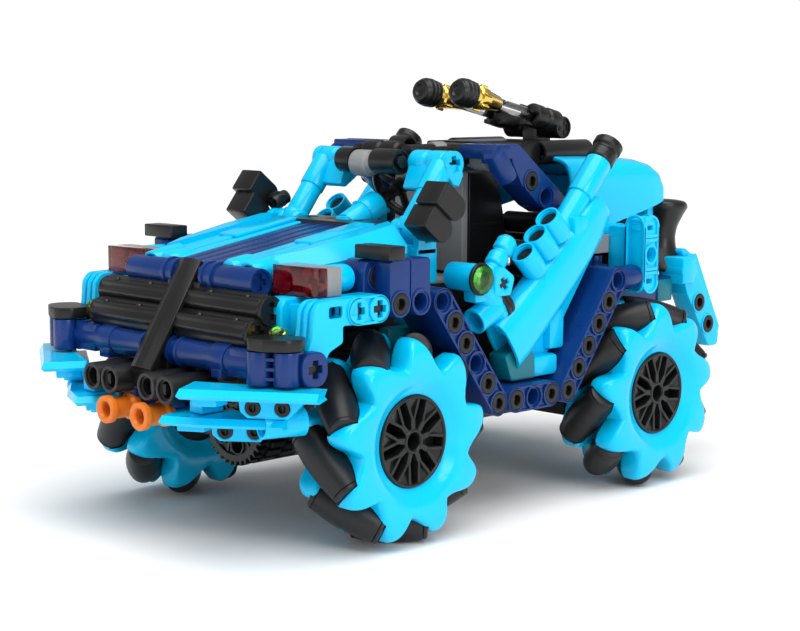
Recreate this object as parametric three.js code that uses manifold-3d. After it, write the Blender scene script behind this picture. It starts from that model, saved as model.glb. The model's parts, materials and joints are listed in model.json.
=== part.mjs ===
// Mecanum wheel robot built from plastic beams, pins and panels.
// Frame: millimetres, +X to the robot's right, +Y to its rear, +Z up; the origin is on the ground, under the
// middle of the four wheels.
import * as THREE from 'three';
import { mergeVertices } from 'three/addons/utils/BufferGeometryUtils.js';
import Module from 'manifold-3d';

const wasm = await Module();
wasm.setup();

// ---- driving dimensions ----
const MODULE = 8; // hole spacing of the beams
const BEAM = 7.8; // width of a beam
const GAP = 0.3; // clearance between pieces of one body
const WHEELBASE = 112;
const TRACK = 92; // between the middle planes of the left and right wheels
const WHEEL_RADIUS = 30;
const HUB_HEIGHT = 30;
const LOBE_COUNT = 9;
const LOBE_TIP_RADIUS = 28.6;
const LOBE_ROOT_RADIUS = 20.5;
const HUB_DISC_RADIUS = 13.2;
const ROLLER_AXIS_RADIUS = 24.5;
const ROLLER_HALF_LENGTH = 11;
const ROLLER_CLEARANCE = 0.45;
const AXLE_RADIUS = 2.4;
const AXLE_BORE = 2.9;
const FRAME_OUTER = 52; // outer face of the side frames
const FRAME_INNER = 36.2;
const FRAME_MIDDLE = -1; // the side frames' middle hole, along Y
const FRAME_LOW = 35.4; // height of the lowest row of holes
const ARM_MODULES = 5; // each slanted arm spans this many modules
const ARM_RUN = 0.6; // cosine and sine of the arms' 3-4-5 slope
const ARM_RISE = 0.8;
const FRAME_HIGH = FRAME_LOW + ARM_MODULES * MODULE * ARM_RISE;
const DEGREE = Math.PI / 180;

// ---- colours ----
const COLOURS = {
  azure: { color: 0x1fcdf5, roughness: 0.28, metalness: 0 },
  navy: { color: 0x1b3a93, roughness: 0.32, metalness: 0 },
  black: { color: 0x232426, roughness: 0.42, metalness: 0 },
  rubber: { color: 0x26282a, roughness: 0.55, metalness: 0 },
  red: { color: 0xb3141a, roughness: 0.12, metalness: 0 },
};

// ---- solids from three.js geometries ----
function toSolid(geometry) {
  const bare = geometry.clone();
  bare.deleteAttribute('normal');
  bare.deleteAttribute('uv');
  const merged = mergeVertices(bare, 1e-4);
  return new wasm.Manifold(new wasm.Mesh({
    numProp: 3,
    vertProperties: Float32Array.from(merged.attributes.position.array),
    triVerts: Uint32Array.from(merged.index.array),
  }));
}

function toGeometry(solid) {
  const mesh = solid.getMesh();
  const geometry = new THREE.BufferGeometry();
  geometry.setAttribute('position', new THREE.BufferAttribute(mesh.vertProperties, 3));
  geometry.setIndex(new THREE.BufferAttribute(mesh.triVerts, 1));
  geometry.computeVertexNormals();
  return geometry;
}

const join = (solids) => solids.reduce((whole, solid) => whole.add(solid));
const cut = (solid, tools) => tools.reduce((left, tool) => left.subtract(tool), solid);

function box(x0, x1, y0, y1, z0, z1) {
  const geometry = new THREE.BoxGeometry(x1 - x0, y1 - y0, z1 - z0);
  geometry.translate((x0 + x1) / 2, (y0 + y1) / 2, (z0 + z1) / 2);
  return toSolid(geometry);
}

// A round bar or cone from one point to another.
function rod(from, to, radius, endRadius = radius, sides = 12) {
  const start = new THREE.Vector3(...from);
  const axis = new THREE.Vector3(...to).sub(start);
  const geometry = new THREE.CylinderGeometry(endRadius, radius, axis.length(), sides);
  geometry.translate(0, axis.length() / 2, 0);
  geometry.applyQuaternion(new THREE.Quaternion().setFromUnitVectors(new THREE.Vector3(0, 1, 0), axis.normalize()));
  geometry.translate(start.x, start.y, start.z);
  return toSolid(geometry);
}

// A flat outline of [y, z] points between two X planes.
function sideSlab(points, x0, x1) {
  const shape = new THREE.Shape(points.map(([y, z]) => new THREE.Vector2(y, z)));
  const geometry = new THREE.ExtrudeGeometry(shape, { depth: x1 - x0, bevelEnabled: false });
  geometry.applyMatrix4(new THREE.Matrix4().makeBasis(
    new THREE.Vector3(0, 1, 0), new THREE.Vector3(0, 0, 1), new THREE.Vector3(1, 0, 0)));
  geometry.translate(x0, 0, 0);
  return toSolid(geometry);
}

// A flat outline of [x, y] points between heights z0 and z1, raised by slope(x, y).
function plate(points, z0, z1, slope = () => 0) {
  const shape = new THREE.Shape(points.map(([x, y]) => new THREE.Vector2(x, y)));
  const geometry = new THREE.ExtrudeGeometry(shape, { depth: z1 - z0, bevelEnabled: false });
  geometry.translate(0, 0, z0);
  const position = geometry.attributes.position;
  for (let i = 0; i < position.count; i += 1) {
    position.setZ(i, position.getZ(i) + slope(position.getX(i), position.getY(i)));
  }
  return toSolid(geometry);
}

// A beam with round ends in an X plane, from hole to hole; points are [y, z].
function beam(from, to, x0, x1, width = BEAM, arcSteps = 4) {
  const angle = Math.atan2(to[1] - from[1], to[0] - from[0]);
  const outline = [];
  for (const [centre, start] of [[to, angle - Math.PI / 2], [from, angle + Math.PI / 2]]) {
    for (let i = 0; i <= arcSteps; i += 1) {
      const turn = start + Math.PI * i / arcSteps;
      outline.push([centre[0] + width / 2 * Math.cos(turn), centre[1] + width / 2 * Math.sin(turn)]);
    }
  }
  return sideSlab(outline, x0, x1);
}

// The same solid on the other side of the X = 0 plane.
function mirrored(solid) {
  const mesh = solid.getMesh();
  const flipped = Float32Array.from(mesh.vertProperties, (value, i) => (i % 3 === 0 ? -value : value));
  const turned = Uint32Array.from(mesh.triVerts);
  for (let i = 0; i < turned.length; i += 3) {
    [turned[i], turned[i + 1]] = [turned[i + 1], turned[i]];
  }
  return new wasm.Manifold(new wasm.Mesh({ numProp: 3, vertProperties: flipped, triVerts: turned }));
}

const bothSides = (solid) => [solid, mirrored(solid)];

function addMesh(parent, name, solid, colour) {
  const mesh = new THREE.Mesh(toGeometry(solid), new THREE.MeshStandardMaterial(COLOURS[colour]));
  mesh.name = name;
  parent.add(mesh);
  return mesh;
}

// ---- wheels ----
// Radius of a roller at a distance s from its middle, so that its outer line lies on the wheel's circle.
const rollerRadius = (s) => WHEEL_RADIUS - Math.sqrt(ROLLER_AXIS_RADIUS ** 2 + s * s / 2);

function rollerGeometry(growth, halfLength, stations, sides) {
  const profile = [new THREE.Vector2(0, -halfLength)];
  for (let i = 0; i <= stations; i += 1) {
    const s = halfLength * (2 * i / stations - 1);
    profile.push(new THREE.Vector2(rollerRadius(s) + growth, s));
  }
  profile.push(new THREE.Vector2(0, halfLength));
  return new THREE.LatheGeometry(profile, sides);
}

// Puts a roller's geometry, drawn along Y, on its slanted axis at an angle around the wheel.
function placeRoller(geometry, angle, hand) {
  geometry.rotateZ(-Math.PI / 2);
  geometry.rotateZ(-hand * 45 * DEGREE);
  geometry.translate(0, 0, ROLLER_AXIS_RADIUS);
  geometry.rotateX(angle - Math.PI / 2);
  return geometry;
}

// Angle of roller i, from +Y toward +Z, for a lobe whose tip stands half a step after it.
const LOBE_AHEAD = 21;
const rollerAngle = (i, hand) => (90 - hand * LOBE_AHEAD + 360 * i / LOBE_COUNT) * DEGREE;

// Outline of a lobed plate whose tips are turned by an angle from the vertical; each lobe leans one way.
function lobeOutline(turned, lean) {
  const outline = [];
  const stations = [[-14, 0], [-9.5, 0.62], [-4, 1], [4, 1], [9.5, 0.62], [14, 0]];
  for (let lobe = 0; lobe < LOBE_COUNT; lobe += 1) {
    for (const [degrees, rise] of stations) {
      const angle = (90 + turned + lobe * 360 / LOBE_COUNT + degrees + lean * rise) * DEGREE;
      const radius = LOBE_ROOT_RADIUS + (LOBE_TIP_RADIUS - LOBE_ROOT_RADIUS) * rise;
      outline.push([radius * Math.cos(angle), radius * Math.sin(angle)]);
    }
  }
  return outline;
}

// One wheel's hub with both lobed plates and its axle stub, about its own centre; +X points outward.
function wheelSolid(hand) {
  const rim = LOBE_TIP_RADIUS + 1;
  const section = [
    [0, -10.5], [HUB_DISC_RADIUS, -10.5], [rim, -8.2], [rim, -3.5], [18, -3.5],
    [18, 3.5], [rim, 3.5], [rim, 8.2], [HUB_DISC_RADIUS, 11.2], [0, 11.2],
  ].map(([radius, along]) => new THREE.Vector2(radius, along));
  const turned = new THREE.LatheGeometry(section, 27);
  turned.rotateZ(-Math.PI / 2);
  const outer = sideSlab(lobeOutline(0, -2 * hand), -1, 12);
  const inner = sideSlab(lobeOutline(-2 * LOBE_AHEAD * hand, 2 * hand), -12, 1);
  const pockets = [];
  for (let i = 0; i < LOBE_COUNT; i += 1) {
    const pocket = rollerGeometry(ROLLER_CLEARANCE + 0.35, ROLLER_HALF_LENGTH + ROLLER_CLEARANCE, 2, 8);
    pockets.push(toSolid(placeRoller(pocket, rollerAngle(i, hand), hand)));
  }
  const axle = rod([-19.5, 0, 0], [-9, 0, 0], AXLE_RADIUS);
  return cut(toSolid(turned).intersect(outer.add(inner)), pockets).add(axle);
}

function addWheel(parent, name, side, end, hand) {
  const wheel = new THREE.Group();
  wheel.position.set(side * TRACK / 2, end * WHEELBASE / 2, HUB_HEIGHT);
  wheel.rotation.z = side > 0 ? 0 : Math.PI;
  parent.add(wheel);
  addMesh(wheel, `wheel_${name}`, wheelSolid(hand), 'azure');
  for (let i = 0; i < LOBE_COUNT; i += 1) {
    const roller = placeRoller(rollerGeometry(0, ROLLER_HALF_LENGTH, 4, 8), rollerAngle(i, hand), hand);
    addMesh(wheel, `roller_${name}_${i + 1}`, toSolid(roller), 'rubber');
  }
}

// ---- chassis ----
const GEAR = { front: -75, back: -51, height: 31, radius: 13.6 };

function chassis() {
  const floor = box(-35.6, 35.6, -24, 24, 27, 31);
  const frontHousing = box(-33, 33, -66, -32, 22, 46);
  const rearHousing = box(-33, 33, 36, 68, 22, 46);
  const joins = [box(-33, 33, -33, -23, 26, 40), box(-33, 33, 23, 37, 26, 40)];
  const battery = box(-26, 26, -36, 40, 30, 57);
  const frontSpine = box(-20, 20, -90, -32, 45.5, 56);
  const rearSpine = box(-20, 20, 39, 89.6, 45, 56);
  const whole = join([floor, frontHousing, rearHousing, ...joins, battery, frontSpine, rearSpine]);
  const bores = [];
  for (const end of [-1, 1]) {
    for (const side of [-1, 1]) {
      const y = end * WHEELBASE / 2;
      bores.push(rod([side * 24, y, HUB_HEIGHT], [side * 34, y, HUB_HEIGHT], AXLE_BORE));
    }
  }
  const gearBay = box(-15.5, 15.5, -67, -49, 20, 45.4);
  const gearBore = rod([0, -50, GEAR.height], [0, -38, GEAR.height], AXLE_BORE);
  return cut(whole, [...bores, gearBay, gearBore]);
}

function frontGear() {
  const body = rod([0, GEAR.front, GEAR.height], [0, GEAR.back, GEAR.height], GEAR.radius, GEAR.radius, 24);
  return body.add(rod([0, GEAR.back - 1, GEAR.height], [0, -40, GEAR.height], AXLE_RADIUS));
}

// ---- side frames ----
const frontArmLow = [FRAME_MIDDLE - 2 * MODULE, FRAME_LOW];
const frontArmHigh = [frontArmLow[0] - ARM_MODULES * MODULE * ARM_RUN, FRAME_HIGH];
const rearArmLow = [FRAME_MIDDLE + 2 * MODULE, FRAME_LOW];
const rearArmHigh = [rearArmLow[0] + ARM_MODULES * MODULE * ARM_RUN, FRAME_HIGH];

// Right side frame: the V of beams, the blocks over the front wheel and the beams over the rear wheel.
function sideFrame() {
  const arms = [
    beam(frontArmLow, frontArmHigh, FRAME_INNER, FRAME_OUTER),
    beam([frontArmLow[0] + 2, FRAME_LOW], [rearArmLow[0] - 2, FRAME_LOW], FRAME_INNER, FRAME_OUTER),
    beam(rearArmLow, rearArmHigh, FRAME_INNER, FRAME_OUTER),
  ];
  const shelf = beam([frontArmHigh[0] - 2 * MODULE, FRAME_HIGH], frontArmHigh, FRAME_INNER, FRAME_OUTER);
  const block = box(36.5, FRAME_OUTER, -66, -46, 64, 81);
  const tile = box(40, 54, -65, -58, 80.5, 84.4);
  const bracket = beam([-81, 67.5], [-62, 67.5], 44, FRAME_OUTER + 1);
  const bracketFoot = box(40, 46, -84, -76, 62, 71);
  const rearLink = beam(rearArmHigh, [rearArmHigh[0] + 12, FRAME_HIGH], 44, FRAME_OUTER);
  const rearBeam = beam([56, 66], [56, 84], 40, FRAME_OUTER);
  return join([...arms, shelf, block, tile, bracket, bracketFoot, rearLink, rearBeam]);
}

// ---- front end ----
function frontBumper() {
  const bar = rod([-32, -97, 54], [32, -97, 54], 4);
  const posts = bothSides(join([
    plate([[37, -105], [44, -107], [52, -104], [54, -96], [50, -91], [37, -92]], 47.5, 60),
    plate([[37, -105], [44, -107], [52, -104], [52, -96], [38, -92]], 59.5, 63.5),
    box(29, 38, -101, -93, 50, 58),
  ]));
  const stem = box(-14, 14, -97, -90.4, 51, 56.6);
  return join([bar, ...posts, stem]);
}

// Right-hand pair of blades, with the block that joins them and the lower blade's tube end.
function blades() {
  const upper = plate([[23, -113], [30, -120], [62, -98], [57, -90], [44, -96], [23, -106]], 44.6, 47.2);
  const lower = plate([[14, -110], [19, -115], [46, -97], [45, -89], [34, -91], [14, -104]], 38, 41);
  const joiner = box(26, 44, -105, -95, 40.5, 45);
  const tubeEnd = rod([41, -99, 38.5], [45, -87.5, 38.5], 4);
  const hanger = box(21.2, 27, -108, -100, 40.5, 46.4);
  return join([upper, lower, joiner, tubeEnd, hanger]);
}

function grille() {
  const strip = sideSlab([[-89.6, 78.6], [-91.4, 78.6], [-107.6, 48.4], [-105.6, 48.4]], -4.5, 4.5);
  const bars = [[-91.5, 66.8, 36], [-95.3, 62.7, 35.5]].map(([y, z, reach]) => rod([-reach, y, z], [reach, y, z], 4.2));
  const backing = box(-22, 22, -92, -87, 58.6, 66);
  const spine = box(-6, 6, -101, -90.4, 58.5, 66);
  const connectors = bothSides(join([8, 16].map((x) => rod([x, -116, 46], [x, -98, 46], 3.9))));
  const bridge = box(-19, 19, -108, -98, 43, 49);
  const upright = box(-4, 4, -106.5, -101.2, 46, 61);
  const bushes = bothSides(rod([8, -114, 38.2], [8, -104, 38.2], 3.8)
    .add(box(5, 11, -108, -104.5, 37, 44)));
  return join([strip, ...bars, backing, spine, ...connectors, bridge, upright, ...bushes]);
}

// ---- hood ----
const hoodSlope = (x, y) => 0.155 * (y + 88);

function hood() {
  const middle = plate([[-24, -87], [24, -87], [25, -34], [-25, -34]], 74, 78.5, hoodSlope);
  const wings = bothSides(plate([[20, -85], [34, -68], [35.5, -45], [33, -35], [20, -35]], 73, 77, hoodSlope));
  const tube = rod([-25, -85, 74.4], [25, -85, 74.4], 3.8);
  const legs = bothSides(box(10, 18, -70, -60, 56.3, 77));
  return join([middle, ...wings, tube, ...legs]);
}

function lamp() {
  const block = box(28, 46.6, -83.5, -76, 71.5, 79.2);
  const holder = rod([40, -79, 75.2], [40, -67.5, 75.2], 3.9);
  return block.add(holder);
}

// ---- cabin ----
function cabinFrame() {
  const pillars = bothSides(join([
    rod([27, -30, 82], [27, -13, 103], 3.9),
    rod([12.4, -12, 104.5], [29.2, -12, 104.5], 3.9),
    rod([22, -29, 83], [35, -29, 83], 3.9),
    box(23, 34, -33, -25, 57.4, 84),
    rod([16, -18, 105], [16, 38, 105.5], 3.6),
    rod([24, 6, 105.5], [33, 6, 105.5], 3.9),
    beam([6, 105.5], [34, 86], 28, 35),
    beam([34, 86], [36, 60], 28, 35),
    rod([10, 34, 86], [33, 34, 86], 3.6),
  ]));
  const frontBar = rod([-24, -18, 104.5], [24, -18, 104.5], 3.9);
  const roofBar = box(-17, 17, 24, 60, 102, 109);
  const rearBar = rod([-26, 6, 105.5], [26, 6, 105.5], 3.6);
  const backWall = box(-33, 33, 33, 39, 57.3, 66);
  const lug = box(-3.2, 3.2, 55.6, 63.4, 103, 117.4);
  const deck = box(-20.5, 20.5, 55, 64, 102, 108.6);
  return join([...pillars, frontBar, roofBar, rearBar, backWall, lug, deck, dashboard()]);
}

function mirror() {
  const stalk = rod([30.9, -27, 91], [39, -27, 91], 1.9);
  const head = beam([-33, 88], [-25.5, 97], 36.5, 43.5, 9.5).add(beam([-29, 85], [-21.5, 93.5], 38, 45, 8.5));
  return head.add(stalk);
}

const STEERING = { y: -6, z: 96, radius: 9.5, tube: 1.5, tilt: 25 };

// A point on the steering axis, below the middle of the ring by a distance.
const steeringAxis = (below) => [
  0, STEERING.y - below * Math.cos(STEERING.tilt * DEGREE), STEERING.z - below * Math.sin(STEERING.tilt * DEGREE),
];

function steeringWheel() {
  const ring = [];
  for (let i = 0; i < 8; i += 1) {
    const angle = i * 45 * DEGREE;
    ring.push(new THREE.Vector2(STEERING.radius + STEERING.tube * Math.cos(angle), STEERING.tube * Math.sin(angle)));
  }
  ring.push(ring[0].clone());
  const rim = toSolid(new THREE.LatheGeometry(ring, 24));
  const spokes = [0, 120, 240].map((degrees) => rod([0, 0, 0],
    [STEERING.radius * Math.cos(degrees * DEGREE), 0, STEERING.radius * Math.sin(degrees * DEGREE)], 1.2, 1.2, 8));
  return join([rim, ...spokes, rod([0, -14, 0], [0, 1.6, 0], 2)]);
}

function dashboard() {
  const column = rod(steeringAxis(24), steeringAxis(11), 3.9);
  const bore = rod(steeringAxis(16), steeringAxis(8), 2.5);
  const panel = box(-24, 24, -33, -24.5, 72, 81.6);
  const legs = box(-12, 12, -34, -26, 57.3, 73);
  const saddle = box(-3.5, 3.5, -32, -26, 80, 87);
  return cut(join([column, panel, legs, saddle]), [bore]);
}

function seat() {
  const base = box(-15, 15, -8, 26, 57.3, 68);
  const back = sideSlab([[6, 66], [26, 66], [27, 84], [22, 101], [10, 101], [6, 84]], -15, 15);
  return base.add(back);
}

// ---- roof launcher ----
const PIVOT = { y: 59.5, z: 113.6 };

function launcher() {
  const pitch = 12.5 * DEGREE;
  const along = (distance) => [PIVOT.y - distance * Math.cos(pitch), PIVOT.z + 1.5 + distance * Math.sin(pitch)];
  const barrel = (x) => join([[0, 24, 4.2, 4.2], [23, 34, 1.7, 1.7], [33, 42, 2.4, 4.4], [41.5, 50, 4.9, 4.4]]
    .map(([start, end, r0, r1]) => rod([x, ...along(start)], [x, ...along(end)], r0, r1)));
  const crossbars = bothSides(rod([3.6, PIVOT.y, PIVOT.z], [12.2, PIVOT.y, PIVOT.z], 3.8));
  return join([...crossbars, barrel(-8), barrel(8), box(-8, 8, 45.5, 51.5, 114.5, 119.5)]);
}

// ---- sides and rear ----
function cannon() {
  const lower = rod([46, -7, 50], [45, 27, 92], 9, 5.5);
  const tube = rod([43, 4, 80], [43, 36.5, 106.5], 4.2);
  const ring = rod([43, 35, 105.3], [43, 40, 109.4], 4.7);
  const link = rod([43, 8, 82], [45, 16, 76], 4);
  const mouths = [[-6, 74], [0, 79]].map(([y, z]) => rod([43, y, z], [44.5, y + 12, z - 10], 3.6));
  const elbow = rod([43, -21, 71.5], [44, -8, 61], 4.2).add(rod([38, -21.5, 72], [50, -21.5, 72], 4.2));
  const foot = box(40, 48, -9, -1, 39.7, 49);
  return join([lower, tube, ring, link, ...mouths, elbow, foot]);
}

function rearBody() {
  const shell = sideSlab([[42, 81], [62, 82], [91, 88], [92, 94], [86, 101], [76, 103.6], [65, 103.4], [64.6, 101.5], [42, 100.5]],
    -30, 30);
  const cover = cut(shell, [sideSlab([[40, 80], [88, 80], [88, 95], [83, 98], [74, 99], [40, 98]], -27, 27)]);
  const core = box(-26, 26, 76, 92, 56.3, 82).add(box(-26, 26, 86, 92, 81, 90));
  const links = bothSides(rod([24, 56, 80], [39.6, 56, 80], 3.5).add(box(24, 29, 50, 62, 78, 84)));
  const spools = bothSides(rod([20, 96, 64], [20, 96, 84], 6.5));
  const backWall = box(-24, 24, 90, 98, 52, 68);
  const tails = bothSides(sideSlab([[94, 70], [100, 72], [120, 44], [120, 36], [112, 38], [94, 56]], 20, 36));
  return join([cover, core, ...links, ...spools, backWall, ...tails]);
}

// ---- assembly ----
const robot = new THREE.Group();
addWheel(robot, 'front_right', 1, -1, 1);
addWheel(robot, 'front_left', -1, -1, -1);
addWheel(robot, 'rear_right', 1, 1, -1);
addWheel(robot, 'rear_left', -1, 1, 1);
addMesh(robot, 'chassis', chassis(), 'black');
addMesh(robot, 'front_gear', frontGear(), 'black');
addMesh(robot, 'front_bumper', frontBumper(), 'navy');
addMesh(robot, 'grille', grille(), 'black');
addMesh(robot, 'hood', hood(), 'azure');
addMesh(robot, 'cabin_frame', cabinFrame(), 'azure');
addMesh(robot, 'seat', seat(), 'black');
addMesh(robot, 'launcher', launcher(), 'black');
addMesh(robot, 'rear_body', rearBody(), 'azure');
for (const [name, build, colour] of [
  ['side_frame', sideFrame, 'navy'], ['blades', blades, 'azure'], ['lamp', lamp, 'red'],
  ['mirror', mirror, 'black'], ['cannon', cannon, 'azure'],
]) {
  const solid = build();
  addMesh(robot, `${name}_right`, solid, colour);
  addMesh(robot, `${name}_left`, mirrored(solid), colour);
}
const steering = new THREE.Group();
steering.position.set(0, STEERING.y, STEERING.z);
steering.rotation.x = STEERING.tilt * DEGREE;
robot.add(steering);
addMesh(steering, 'steering_wheel', steeringWheel(), 'black');

export default robot;
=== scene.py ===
"""Looks of the mecanum wheel robot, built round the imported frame.

Shapes are drawn in millimetres, and make() turns each into a piece in metres: a mesh of one material that
rides on one body.  +X is the robot's right, +Y its rear, +Z up.
"""
import json
import math

import bmesh
import bpy
from mathutils import Matrix, Vector

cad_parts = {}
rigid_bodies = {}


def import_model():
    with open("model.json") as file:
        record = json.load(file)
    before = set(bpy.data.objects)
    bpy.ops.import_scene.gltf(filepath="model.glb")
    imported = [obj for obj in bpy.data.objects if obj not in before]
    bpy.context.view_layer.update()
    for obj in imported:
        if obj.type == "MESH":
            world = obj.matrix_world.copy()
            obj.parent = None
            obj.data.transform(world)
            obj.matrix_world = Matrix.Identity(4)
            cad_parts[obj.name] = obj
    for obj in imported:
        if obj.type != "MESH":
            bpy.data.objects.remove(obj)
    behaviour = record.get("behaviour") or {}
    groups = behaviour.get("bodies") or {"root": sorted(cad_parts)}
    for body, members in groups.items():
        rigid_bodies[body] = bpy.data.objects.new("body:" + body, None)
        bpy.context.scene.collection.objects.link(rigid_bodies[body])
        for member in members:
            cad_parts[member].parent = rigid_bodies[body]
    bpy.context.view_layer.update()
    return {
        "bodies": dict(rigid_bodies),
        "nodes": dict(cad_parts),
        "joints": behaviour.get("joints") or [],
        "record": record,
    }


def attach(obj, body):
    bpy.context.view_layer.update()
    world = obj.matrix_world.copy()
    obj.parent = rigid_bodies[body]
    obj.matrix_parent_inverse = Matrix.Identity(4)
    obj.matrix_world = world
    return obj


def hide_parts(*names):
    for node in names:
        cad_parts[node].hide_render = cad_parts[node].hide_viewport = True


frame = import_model()

MM = 0.001
TAU = 2 * math.pi
MODULE = 8.0
BEAM = 7.8
HOLE = 2.45
COUNTERBORE = 3.05
WHEEL_RADIUS = 30.0
TRACK_HALF = 46.0
AXLE_Y = 56.0
LOBES = 9
ROLLER_AXIS_RADIUS = 24.5
ROLLER_HALF_LENGTH = 10.9
LOBE_AHEAD = 21.0
LOBE_TURN = -6.0
WHEELS = {
    "front_right": (1, -1, 1), "front_left": (-1, -1, -1), "rear_right": (1, 1, -1), "rear_left": (-1, 1, 1),
}


# ---------------------------------------------------------------- materials

def shader(name):
    material = bpy.data.materials.new(name)
    material.use_nodes = True
    tree = material.node_tree
    return material, tree, tree.nodes["Principled BSDF"]


def add_moulding(tree, bsdf, colour, depth=0.10, scale=900.0, rough=(0.22, 0.34), tint=0.06):
    """Moulded plastic: a faint orange-peel bump, uneven gloss and slow colour drift."""
    place = tree.nodes.new("ShaderNodeTexCoord")
    peel = tree.nodes.new("ShaderNodeTexNoise")
    peel.inputs["Scale"].default_value = scale
    peel.inputs["Detail"].default_value = 3.0
    tree.links.new(place.outputs["Object"], peel.inputs["Vector"])
    bump = tree.nodes.new("ShaderNodeBump")
    bump.inputs["Strength"].default_value = depth
    bump.inputs["Distance"].default_value = 0.00006
    tree.links.new(peel.outputs["Fac"], bump.inputs["Height"])
    tree.links.new(bump.outputs["Normal"], bsdf.inputs["Normal"])
    drift = tree.nodes.new("ShaderNodeTexNoise")
    drift.inputs["Scale"].default_value = 45.0
    drift.inputs["Detail"].default_value = 4.0
    tree.links.new(place.outputs["Object"], drift.inputs["Vector"])
    gloss = tree.nodes.new("ShaderNodeMapRange")
    gloss.inputs["To Min"].default_value = rough[0]
    gloss.inputs["To Max"].default_value = rough[1]
    tree.links.new(drift.outputs["Fac"], gloss.inputs["Value"])
    tree.links.new(gloss.outputs["Result"], bsdf.inputs["Roughness"])
    ramp = tree.nodes.new("ShaderNodeValToRGB")
    ramp.color_ramp.elements[0].position = 0.3
    ramp.color_ramp.elements[1].position = 0.7
    ramp.color_ramp.elements[0].color = [*(c * (1 - tint) for c in colour), 1]
    ramp.color_ramp.elements[1].color = [*(min(1, c * (1 + tint)) for c in colour), 1]
    tree.links.new(drift.outputs["Fac"], ramp.inputs["Fac"])
    tree.links.new(ramp.outputs["Color"], bsdf.inputs["Base Color"])


def plastic(name, colour, rough=(0.20, 0.30), coat=0.35, shine=0.5, **moulding):
    material, tree, bsdf = shader(name)
    add_moulding(tree, bsdf, colour, rough=rough, **moulding)
    bsdf.inputs["IOR"].default_value = 1.5
    bsdf.inputs["Specular IOR Level"].default_value = shine
    bsdf.inputs["Coat Weight"].default_value = coat
    bsdf.inputs["Coat Roughness"].default_value = 0.12
    return material


def clear(name, colour, rough=0.04, ior=1.49):
    """Transparent coloured plastic, with its fine grain only in the bump."""
    material, tree, bsdf = shader(name)
    add_moulding(tree, bsdf, colour, depth=0.05, rough=(rough, rough + 0.04), tint=0.03)
    bsdf.inputs["Transmission Weight"].default_value = 1.0
    bsdf.inputs["IOR"].default_value = ior
    return material


def chrome(name, colour):
    material, tree, bsdf = shader(name)
    add_moulding(tree, bsdf, colour, depth=0.15, scale=600.0, rough=(0.10, 0.22), tint=0.08)
    bsdf.inputs["Metallic"].default_value = 1.0
    return material


MATERIALS = {
    "azure": plastic("azure_plastic", (0.0008, 0.53, 0.88), (0.15, 0.24), coat=0.12, shine=0.24, tint=0.03),
    "navy": plastic("navy_plastic", (0.003, 0.029, 0.155), (0.2, 0.32), coat=0.08, shine=0.3),
    "black": plastic("black_plastic", (0.0085, 0.0085, 0.0085), (0.26, 0.40), coat=0.05, shine=0.32),
    "rubber": plastic("roller_rubber", (0.0085, 0.0085, 0.009), (0.34, 0.48), coat=0.0, shine=0.36,
                      depth=0.3, scale=1500.0),
    "grey": plastic("light_grey_plastic", (0.26, 0.26, 0.26), (0.25, 0.35), coat=0.1, shine=0.35),
    "orange": plastic("orange_plastic", (0.72, 0.17, 0.012), (0.25, 0.36), coat=0.1, shine=0.35),
    # painted shade: a darkened copy of the azure plastic, used where azure parts lie in shade
    "azure_painted_shade": plastic("azure_painted_shade_plastic", (0.002, 0.16, 0.21), (0.25, 0.36), coat=0.1, shine=0.3),
    "red": clear("red_clear_plastic", (0.75, 0.01, 0.012)),
    "clear": clear("clear_plastic", (0.95, 0.97, 0.98)),
    "green": clear("green_gem", (0.10, 0.55, 0.05)),
    "gold": chrome("gold_chrome", (0.95, 0.62, 0.12)),
}


# ---------------------------------------------------------------- shapes

class Shape:
    """Points in millimetres and the faces between them."""

    def __init__(self, points=(), faces=()):
        self.points = [Vector(p) for p in points]
        self.faces = [tuple(f) for f in faces]

    def moved(self, matrix):
        flips = matrix.determinant() < 0
        faces = [tuple(reversed(f)) for f in self.faces] if flips else self.faces
        return Shape([matrix @ p for p in self.points], faces)

    def at(self, x=0.0, y=0.0, z=0.0):
        return self.moved(Matrix.Translation((x, y, z)))

    def turned(self, degrees, axis="X"):
        return self.moved(Matrix.Rotation(math.radians(degrees), 4, axis))

    def __add__(self, other):
        shift = len(self.points)
        faces = [tuple(i + shift for i in f) for f in other.faces]
        return Shape(self.points + other.points, self.faces + faces)


def joined(shapes):
    whole = Shape()
    for shape in shapes:
        whole = whole + shape
    return whole


MIRROR = Matrix.Diagonal((-1, 1, 1, 1))
SIDES = (("right", Matrix.Identity(4)), ("left", MIRROR))
FACE_RIGHT = Matrix(((0, 0, 1, 0), (1, 0, 0, 0), (0, 1, 0, 0), (0, 0, 0, 1)))
FACE_FRONT = Matrix(((1, 0, 0, 0), (0, 0, -1, 0), (0, 1, 0, 0), (0, 0, 0, 1)))
Z_TO_X = Matrix.Rotation(math.radians(90), 4, "Y")


def mirrored(shape):
    """A shape with its mirror image on the left side."""
    return shape + shape.moved(MIRROR)


def from_mesh(mesh):
    return Shape([v.co.copy() for v in mesh.vertices], [tuple(p.vertices) for p in mesh.polygons])


def from_bmesh(mesh):
    mesh.verts.index_update()
    shape = Shape([v.co.copy() for v in mesh.verts], [[v.index for v in f.verts] for f in mesh.faces])
    mesh.free()
    return shape


def block(x0, x1, y0, y1, z0, z1, bevel=0.35, segments=2):
    """A box with rounded edges; its two x values may come in either order."""
    x0, x1 = sorted((x0, x1))
    mesh = bmesh.new()
    bmesh.ops.create_cube(mesh, size=1.0)
    for v in mesh.verts:
        v.co = Vector((
            x0 if v.co.x < 0 else x1,
            y0 if v.co.y < 0 else y1,
            z0 if v.co.z < 0 else z1,
        ))
    if bevel:
        bmesh.ops.bevel(mesh, geom=mesh.edges[:], offset=bevel, segments=segments, affect="EDGES",
                        profile=0.5)
    return from_bmesh(mesh)


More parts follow.
